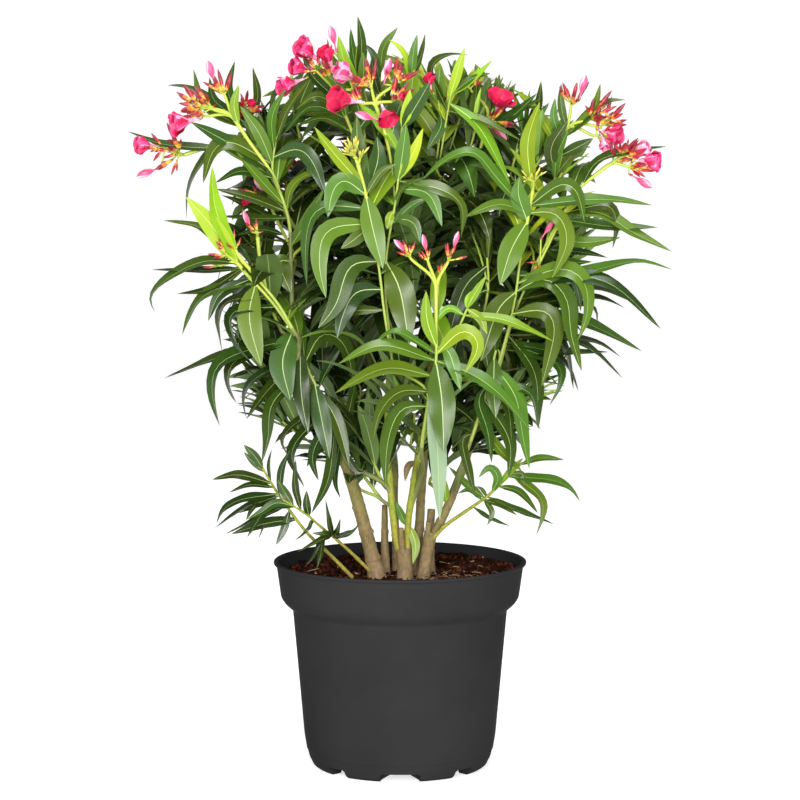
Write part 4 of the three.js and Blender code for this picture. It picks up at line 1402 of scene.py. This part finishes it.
def grow_crown(skeleton, shoots, view, twigs, rng):
    """Joins shoots to the skeleton by curved branches, added to twigs as (path, radii). A shoot by rule that
    leaves the crown or would hide something placed is left out. Returns those that grew."""
    grown = []
    for shoot in sorted(shoots, key=lambda s: np.linalg.norm(s.nodes[0] - vec(0, 0, 300))):
        if "limb" in shoot.facts:
            grown.append(shoot)
            continue
        foot = shoot.nodes[0]
        start = skeleton.best_start(foot, PLACED_RISE if shoot.facts else RULE_RISE)
        place, direction = skeleton.places[start], skeleton.directions[start]
        far = np.linalg.norm(foot - place)
        heading = unit(shoot.nodes[1] - foot)
        bow = rng.normal(size=3) * 0.05 * far
        leaving = place + direction * far * 0.4 + bow
        joint = bezier(place, leaving, foot - heading * far * 0.35, foot, SHOOT_STEP)
        shoot.path = np.vstack([joint[:-1], shoot.path])
        if not shoot.facts and not leaf_out(shoot, view, rng):
            continue
        whole = arc_lengths(shoot.path)
        thick = min(skeleton.radii[start] * 0.85, 2.0 + 0.006 * whole[-1])
        radii = thick + (TIP_RADIUS - thick) * (whole / whole[-1])**0.8
        skeleton.grow(shoot.path, radii, 0.12, 0.8)
        twigs.append((shoot.path, radii))
        grown.append(shoot)
    return grown


def leaf_out(shoot, view, rng):
    """Gives a shoot its leaves by rule and ends its path at the last of them; False if it has no room."""
    outer = shoot.path[np.linalg.norm(shoot.path[:, :2], axis=1) > BARE_WITHIN]
    if not in_crown(outer) or view.hides(shoot.path[len(shoot.path) // 2:]) or kinked(shoot.path):
        return False
    shoot.leaves = whorl_leaves(shoot, view, rng)
    if len(shoot.leaves) < FEWEST_LEAVES:
        return False
    last = max(int(np.argmin(np.linalg.norm(shoot.path - leaf[0], axis=1))) for leaf in shoot.leaves)
    shoot.path = shoot.path[:last + 2]
    return True


def kinked(path):
    """Whether a path turns sharply from one step to the next."""
    ahead = unit(np.diff(path, axis=0))
    return bool(((ahead[1:] * ahead[:-1]).sum(1) < math.cos(SHARPEST_TURN)).any())


def make_twigs(twigs):
    """Branches within the crown, brown where they are thick and green where they are young."""
    piece = Piece("twigs", *TWIG_LOOKS)
    for path, radii in twigs:
        looks = (radii[:-1] > OLIVE_FROM).astype(int) + (radii[:-1] > BROWN_FROM)
        tube(piece, path, radii, TWIG_SIDES, np.repeat(looks, TWIG_SIDES), looks[-1])
    return piece


# ==== leaves ====

class View:
    """What the placed leaves and flowers cover in the camera's view, and how near they are."""

    def __init__(self):
        self.depth = np.full((VIEW_CELLS, VIEW_CELLS), np.inf)

    def cells(self, points):
        way = points - EYE
        flat = EYE + way * (CAMERA_AWAY / way[:, 1])[:, None]
        right = VIEW_MIDDLE + flat[:, 0] / VIEW_STEP
        down = (VIEW_TOP - flat[:, 2]) / VIEW_FALL
        cells = np.stack([right, down], 1) * VIEW_CELLS / (2 * VIEW_MIDDLE)
        return np.clip(cells.astype(int), 0, VIEW_CELLS - 1).T

    def cover(self, points):
        i, j = self.cells(points)
        np.minimum.at(self.depth, (i, j), points[:, 1])

    def hides(self, points):
        """Whether these points are nearer than something placed behind them."""
        i, j = self.cells(points)
        behind = self.depth[i, j]
        return bool((np.isfinite(behind) & (points[:, 1] < behind + CLEARANCE)).any())


# Whorls of leaves by their rank from the shoot's tip: the gap above each, then tables of the share of their
# full length, the angle in degrees that they open by, and the one in radians that they droop by.
WHORL_GAPS = [2, 9, 16, 24, 31, 36, 38, 40, 40]
WHORL_SIZES = ([0, 1, 2, 3, 5, 8], [0.38, 0.62, 0.86, 1.0, 1.02, 0.95])
WHORL_OPENING = ([0, 1, 2, 3, 4, 6], [14, 24, 38, 54, 68, 84])
WHORL_DROOP = ([0, 1, 2, 3, 4, 6], [0.1, 0.3, 0.55, 0.9, 1.25, 1.6])
WHORL_TURN = 1.05               # from one whorl to the next
BARE_BELOW_HEAD = 2             # the first whorls, which a shoot with a flower head lacks
LEAF_SHARES = (1.0, 0.8, 0.62)  # a leaf that doesn't fit is tried again at these shares of its length
BARE_FOOT = 8.0                 # the length at a shoot's foot that bears no whorl
STEM_SURFACE = 1.2              # how far from the middle of its stem a leaf starts
MOST_FORWARD = 0.1              # on placed shoots, leaves by rule that face the camera more are left out


def whorl_leaves(shoot, view, rng):
    """The leaves that a shoot grows by rule, in whorls from its tip down."""
    reach = arc_lengths(shoot.path)[-1]
    gaps = np.cumsum(WHORL_GAPS[:shoot.whorls + 1])
    spin = rng.uniform(0, 2 * math.pi)
    leaves = []
    for rank, back in enumerate(gaps):
        if back > reach - BARE_FOOT:
            break
        if rank < BARE_BELOW_HEAD and "hubs" in shoot.facts:
            continue
        place, direction = along(shoot.path, reach - back)
        age = rank / max(1, len(gaps) - 1)
        size, opening, droop = [np.interp(rank, *table)
                                for table in (WHORL_SIZES, WHORL_OPENING, WHORL_DROOP)]
        for k in range(WHORL):
            out = spokes(direction, spin + rank * WHORL_TURN + k * 2 * math.pi / WHORL + rng.normal() * 0.16)
            angle = math.radians(opening + rng.normal() * 8)
            heading = unit(direction * math.cos(angle) + out * math.sin(angle) + UP * 0.12)
            length = shoot.leaf * size * rng.uniform(0.86, 1.12)
            width = length * rng.uniform(0.18, 0.225) * np.interp(rank, [0, 2], [0.78, 1])
            # The tone follows the shoot's youth, which also carries painted shade, and darkens down the shoot
            # with the whorl's rank.
            youth_and_shade = shoot.youth_and_shade * 1.15 + 0.22 - 0.75 * age * (1 - 0.35 * shoot.youth_and_shade) + rng.normal() * 0.09
            tone = int(np.clip(round(youth_and_shade * YOUNG), 0, YOUNG))
            bend = droop * rng.uniform(0.55, 1.35)
            fold = rng.uniform(0.1, 0.35) if rank > 1 else rng.uniform(0.5, 0.8)
            roll, wave = rng.normal() * 0.3, rng.uniform(0, 1)
            if shoot.facts and heading.dot(FRONT) > MOST_FORWARD:
                continue
            foot = place + out * STEM_SURFACE
            share = fitting_share(foot, heading, length, bend, view)
            if share:
                leaves.append((foot, heading, length * share, width * share**0.5, bend, fold, roll, wave,
                               tone))
    return leaves


def fitting_share(foot, heading, length, bend, view):
    """The share of its length that a leaf can have within the crown and behind what is placed, or None."""
    for share in LEAF_SHARES:
        size = np.array([length * share])
        _, (middle,), _ = midlines(foot[None], heading[None], DOWN, size, np.array([bend]))
        if in_crown(middle[3:]) and not view.hides(middle[2:]):
            return share
    return None


FULL_WIDTH = 21.0               # the real width of a placed leaf, unless it is short or looks wider
WIDTH_SHARE = 0.17              # the real width of a short one, as a share of its length
NEAREST, FARTHEST = 8.0, 42.0   # the least and most that a placed leaf's point leaves its depth
COVER_LINES = (-0.45, -0.22, 0, 0.22, 0.45)     # across a leaf's width, the lines that View keeps


def placed_leaves(shoot, rng):
    """The leaves that are placed one by one, as (middle line, side, normal, width, tone, fold, wave). Their
    points come nearer, or go away where the width is below 0. One that looks slim for its length is rolled to
    its seen width."""
    leaves = []
    depth = shoot.facts["depth"]
    t = leaf_steps(PLACED_ROWS)
    for width, tone, *places in shoot.facts.get("leaves", []):
        flat = np.array([view_place(*place, depth) for place in places])
        reach = arc_lengths(flat)
        near = np.clip(0.3 * reach[-1], NEAREST, FARTHEST) * np.clip(width / 12, -1, 1)
        points = [view_place(*place, depth - near * (r / reach[-1])**0.8) for place, r in zip(places, reach)]
        points[0] = shoot.path[np.argmin(np.linalg.norm(shoot.path - flat[0], axis=1))]
        path = smooth_path(points, 4)
        length = arc_lengths(path)[-1]
        shares = arc_lengths(path) / length
        middle = np.stack([np.interp(t, shares, path[:, k]) for k in range(3)], 1)
        for _ in range(2):
            middle[1:-1] = (middle[:-2] + 2 * middle[1:-1] + middle[2:]) / 4
        ahead = unit(np.gradient(middle, axis=0))
        normal = unit(FRONT - ahead * (ahead @ FRONT)[:, None])
        side = np.cross(ahead, normal)
        seen_width = abs(width) * VIEW_STEP * (CAMERA_AWAY + depth) / CAMERA_AWAY
        real_width = max(seen_width, min(FULL_WIDTH, WIDTH_SHARE * length))
        roll = math.acos(seen_width / real_width) * (-1 if side[:, 2].mean() > 0 else 1)
        side, normal = rolled(side, normal, roll * (0.75 + 0.25 * t)[:, None])
        leaves.append((middle, side, normal, real_width, TONES.index(tone), rng.uniform(0.25, 0.5),
                       rng.uniform(0, 0.6)))
    return leaves


def columns(rows):
    return [np.array(column) for column in zip(*rows)]


def leaf_looks(tone, spray):
    """The looks of each leaf's upper side, rib and underside; its spray settles the shade of its tone."""
    return np.stack([tone * len(SHADES) + spray % len(SHADES), RIB_LOOK[tone], UNDER_LOOK[tone]], 1)


def add_placed_leaves(pieces, shoots, view, rng):
    for shoot in shoots:
        rows = placed_leaves(shoot, rng)
        if rows:
            middle, side, normal, width, tone, fold, wave = columns(rows)
            blade_meshes(pieces[shoot.mass], leaf_steps(PLACED_ROWS), middle, side, normal, width, fold, wave,
                         leaf_looks(tone, np.arange(len(tone))))
            for share in COVER_LINES:
                line = (middle + side * share * width[:, None, None])[:, 1:]
                view.cover(line.reshape(-1, 3))
                view.cover((line[:, 1:] + line[:, :-1]).reshape(-1, 3) / 2)


def add_grown_leaves(pieces, shoots, view, rng):
    grown = {}
    for spray, shoot in enumerate(shoots):
        if "limb" not in shoot.facts:
            leaves = shoot.leaves if shoot.leaves is not None else whorl_leaves(shoot, view, rng)
            grown.setdefault(shoot.mass, []).extend((*leaf, spray) for leaf in leaves)
    for mass, rows in grown.items():
        foot, heading, length, width, bend, fold, roll, wave, tone, spray = columns(rows)
        blades(pieces[mass], foot, heading, DOWN, length, width, bend, fold, roll, wave,
               leaf_looks(tone, spray))


# ==== flowers, buds and their stalks ====

BUD_ROWS = 13
BUD_SIDES = 8
BUD_TWIST = 1.7
STALK_RADIUS = 1.1
HUB_STALK_RADIUS = 1.9
HEAD_STALK_RADIUS = 2.2
PETALS = 5
PETAL_ROWS = 9
PETAL_LEAN = 0.62               # the angle between a flower's tube and its petals where they start


def slim_bud(t):
    """The radius of a young bud by the share of its length: a slim spindle, thickest above its middle."""
    return 0.3 + 0.7 * np.sin(np.pi * np.clip(t, 0, 1)**1.15)**0.9 - 0.28 * t**4


def full_bud(t):
    """The radius of a bud about to open: a slim tube that swells to a rounded point."""
    return 0.22 + 0.78 * np.clip((t - 0.3) / 0.3, 0, 1)**0.8 - 0.94 * np.clip((t - 0.68) / 0.32, 0, 1)**2.2


class Blossom:
    """The three joined pieces that every flower head adds to."""

    def __init__(self):
        self.petals = Piece("petals", *FLOWER_LOOKS)
        self.buds = Piece("flower_buds", *BUD_LOOKS)
        self.stalks = Piece("flower_stalks", STALK)

    def stalk(self, start, end, thick, heading=None):
        way = end - start
        far = np.linalg.norm(way)
        heading = unit(way) if heading is None else heading
        path = bezier(start, start + heading * far * 0.4, end - unit(way) * far * 0.3, end, 5)
        tube(self.stalks, path, np.linspace(thick, thick * 0.8, len(path)))

    def spindle(self, foot, heading, length, thick, shape, looks):
        """A twisted bud, open at its foot and tip. looks is the look of each face, in rows from its foot."""
        t = np.linspace(0, 1, BUD_ROWS + 1)
        ring = spokes(heading, even_turns(BUD_SIDES)[None] + t[:, None] * BUD_TWIST)
        path = foot + heading * (t * length)[:, None]
        points = path[:, None] + ring * (shape(t) * thick / 2)[:, None, None]
        looks = np.broadcast_to(looks, (BUD_ROWS, BUD_SIDES)).ravel()
        self.buds.add(points, grid_faces(len(t), BUD_SIDES, closed=True), looks)

    def sepals(self, foot, heading, length, thick):
        """Five slender dark points round the foot of a bud or flower."""
        low = foot - heading * 1.5
        for out in spokes(heading, np.arange(PETALS) * 2 * math.pi / PETALS):
            path = low + np.outer([0, 0.5, 1], heading) * length + np.outer([0, 0.5, 0.62], out) * thick
            tube(self.buds, path, np.array([0.34, 0.24, 0.03]) * thick, 3, SEPAL)

    def bud(self, foot, heading, length, thick, bands):
        """A bud that is still shut. Its bands are (share of its length, look), from its foot to its tip."""
        share = (np.arange(BUD_ROWS) + 0.5) / BUD_ROWS
        looks = np.array([look for _, look in bands])[np.searchsorted([end for end, _ in bands], share)]
        self.spindle(foot, heading, length, thick, slim_bud, looks[:, None])
        self.sepals(foot, heading, min(6.5, length * 0.36), thick * 0.42)

    def pink_bud(self, foot, heading, length, thick):
        """A bud about to open, rolled up so that pale and rose streaks wind round it."""
        streaks = np.where(np.arange(BUD_SIDES) % 4 < 2, BUD_PALE, BUD_ROSE)
        self.spindle(foot, heading, length, thick, full_bud, streaks[None])
        self.sepals(foot, heading, 5.5, 2.2)

    def flower(self, foot, heading, size, gape, rng, tint):
        """A half-open funnel: a slim pale tube and five broad petals, which close in when gape is small."""
        throat = foot + heading * size * 0.6
        funnel = np.array([foot, foot + heading * size * 0.3, throat])
        tube(self.petals, funnel, np.array([0.045, 0.06, 0.13]) * size, 8, [BLUSH] * 8 + [PALE] * 8)
        self.sepals(foot, heading, 6.0, 2.4)

        def spread(low, high):
            return rng.uniform(low, high, PETALS)

        out = spokes(heading, rng.uniform(0, 2 * math.pi) + np.arange(PETALS) * 2 * math.pi / PETALS)
        start = throat - heading * size * 0.1 + out * size * 0.06
        direction = unit(heading * math.cos(PETAL_LEAN) + out * math.sin(PETAL_LEAN))
        length, width = size * spread(0.72, 0.9), size * spread(0.7, 0.86)
        bend = 1.7 * gape - 0.85 + spread(-0.15, 0.15)
        fold, roll, wave = spread(0.05, 0.2), spread(0.1, 0.35), spread(0.2, 0.7)
        blades(self.petals, start, direction, out, length, width, bend, fold, roll, wave,
               [PETAL_TINTS[tint]] * PETALS, PETAL_SHAPE, PETAL_ROWS)


def spread_buds(blossom, hub, heading, count, reach, rng, kinds, size):
    """Buds on short stalks round a hub, leaning out from its heading, most of them in pairs."""
    for i in range(count):
        ring = spokes(heading, i * GOLDEN_TURN + rng.uniform(-0.3, 0.3))
        lean = math.radians(rng.uniform(8, 62))
        out = unit(heading * math.cos(lean) + ring * math.sin(lean))
        foot = hub + out * reach * rng.uniform(0.15, 0.6)
        blossom.stalk(hub, foot, STALK_RADIUS, heading)
        length = rng.uniform(*size)
        bands = kinds[i % len(kinds)]
        facing = unit(out + rng.normal(size=3) * 0.12)
        blossom.bud(foot, facing, length, length * rng.uniform(0.16, 0.23), bands)
        if rng.uniform() < 0.7:
            twin = unit(out + rng.normal(size=3) * 0.35)
            blossom.bud(foot, twin, length * 0.68, length * 0.14, bands)


# The buds of a head: the bands of colour of each kind in turn, and their shortest and longest length.
BUD_KINDS = {
    "red": ([[(0.24, BUD_YELLOW), (0.38, BUD_ORANGE), (0.8, BUD_RED), (1, BUD_DARK)],
             [(0.4, BUD_YELLOW), (0.62, BUD_ORANGE), (1, BUD_DARK)],
             [(0.2, BUD_YELLOW), (0.3, BUD_ORANGE), (0.55, BUD_RED), (1, BUD_DARK)]], (16, 27)),
    "brown": ([[(0.35, BUD_YELLOW), (0.6, BUD_ORANGE), (1, BUD_DARK)],
               [(0.25, BUD_YELLOW), (0.45, BUD_ORANGE), (0.8, BUD_RED), (1, BUD_DARK)]], (10, 17)),
    "yellow": ([[(0.6, BUD_GREEN), (1, BUD_YELLOW)]], (9, 15)),
}
# The length and thickness of the buds about to open.
PINK_BUDS = {"red": (29, 9), "brown": (25, 6)}
# The petals of a flower: edges, middle and centre inside, the same outside, and the rim.
PETAL_TINTS = {
    "crimson": (CRIMSON, CRIMSON, DARK, CRIMSON, CRIMSON, ROSE, CRIMSON),
    "rose": (ROSE, CRIMSON, DARK, CRIMSON, ROSE, PALE, ROSE),
    "pale": (PALE, ROSE, CRIMSON, ROSE, PALE, BLUSH, PALE),
}


def add_head(blossom, shoot, view, rng):
    """The flower head at the end of a placed shoot, each part where the camera sees it."""
    facts = shoot.facts
    depth = facts["depth"]
    tip = shoot.path[-1]
    heading = unit(shoot.path[-1] - shoot.path[-3])
    style = facts.get("buds", "red")
    kinds, size = BUD_KINDS[style]
    hubs = [tip]

    def stalk_to(foot):
        blossom.stalk(min(hubs, key=lambda h: np.linalg.norm(h - foot)), foot, STALK_RADIUS)

    if "hubs" in facts:
        tube(blossom.stalks, shoot.path[-9:], np.linspace(1.6, HEAD_STALK_RADIUS, 9), 8)
    for right, down, count, reach in facts.get("hubs", []):
        hub = view_place(right, down, depth - rng.uniform(0, 14))
        blossom.stalk(tip, hub, HUB_STALK_RADIUS, heading)
        lean = unit(unit(hub - tip) * min(1, np.linalg.norm(hub - tip) / 15) + heading * 0.6 + UP * 0.1)
        spread_buds(blossom, hub, lean, count, reach * VIEW_STEP, rng, kinds, size)
        hubs.append(hub)
    for right, down, wide, face_right, face_up, gape, tint in facts.get("flowers", []):
        wide = wide * VIEW_STEP
        face = unit(RIGHT * face_right + UP * face_up + FRONT * 0.45)
        centre = view_place(right, down, depth - 16)
        foot = centre - face * wide * 0.95
        stalk_to(foot)
        blossom.flower(foot, face, wide, gape, rng, tint)
        view.cover(centre + rng.normal(size=(60, 3)) * wide * vec(0.25, 0.02, 0.25))
    for right, down, face_right, face_up in facts.get("pink", []):
        face = unit(RIGHT * face_right + UP * face_up + FRONT * 0.2)
        length, thick = PINK_BUDS[style]
        foot = view_place(right, down, depth - 8) - face * length / 2
        stalk_to(foot)
        blossom.pink_bud(foot, face, length, thick)
        view.cover(foot + face * np.linspace(0, length, 12)[:, None])


# The part of the crown where shoots that grow by rule can bear flowers: its front limit, foot and top.
BACK_BLOOM = (60.0, 560.0, 735.0)
BACK_BLOOM_SHARE = 0.4
BACK_FLOWER = 26.0


def add_back_head(blossom, shoot, rng):
    """A flower head on a shoot at the plant's back."""
    tip = shoot.path[-1]
    heading = unit(tip - shoot.path[-3])
    kinds, size = BUD_KINDS["red"]
    for tint in ("crimson", "rose"):
        hub = tip + unit(heading + rng.normal(size=3) * 0.4) * rng.uniform(16, 28)
        blossom.stalk(tip, hub, HUB_STALK_RADIUS, heading)
        spread_buds(blossom, hub, unit(hub - tip), 6, 24, rng, kinds, size)
        face = unit(hub - tip + rng.normal(size=3) * 12)
        blossom.flower(hub, face, BACK_FLOWER, rng.uniform(0.2, 0.6), rng, tint)


# ==== putting it together ====

def place_on_root(pieces):
    """Each (piece, node) rides on the root body and stands for its node, or its nodes."""
    for piece, stands_for in pieces:
        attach(piece, "root")
        if stands_for:
            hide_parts(*([stands_for] if isinstance(stands_for, str) else stands_for))


set_the_stage()
place_on_root(make_pot())
place_on_root(make_soil(np.random.default_rng(SEED)))

rng = np.random.default_rng(SEED + 1)
for name, limb in LIMBS.items():
    place_on_root([make_bark(name, limb, rng, False)])
for name, limb in STUBS.items():
    place_on_root([make_bark(name, limb, rng, True)])

rng = np.random.default_rng(SEED + 2)
view = View()
blossom = Blossom()
skeleton = bare_skeleton()
leaves = {mass: Piece(mass.replace("foliage", "leaves"), *LEAF_LOOKS) for mass in MASSES}
twigs = []
placed = grow_crown(skeleton, placed_shoots(), view, twigs, rng)
add_placed_leaves(leaves, placed, view, rng)
for shoot in placed:
    add_head(blossom, shoot, view, rng)
grown = grow_crown(skeleton, fill_shoots(rng), view, twigs, rng)
add_grown_leaves(leaves, placed + grown, view, rng)
front, foot, top = BACK_BLOOM
for shoot in grown:
    if shoot.path[-1][1] > front and foot < shoot.path[-1][2] < top and rng.uniform() < BACK_BLOOM_SHARE:
        add_back_head(blossom, shoot, rng)
place_on_root([(make_twigs(twigs).make(), None)])
place_on_root([(blossom.petals.make(), ("flowers_far_left", "flowers_far_right")),
               (blossom.buds.make(), None)])
place_on_root([(blossom.stalks.make(), None)])
place_on_root([(piece.make(), mass) for mass, piece in leaves.items()])
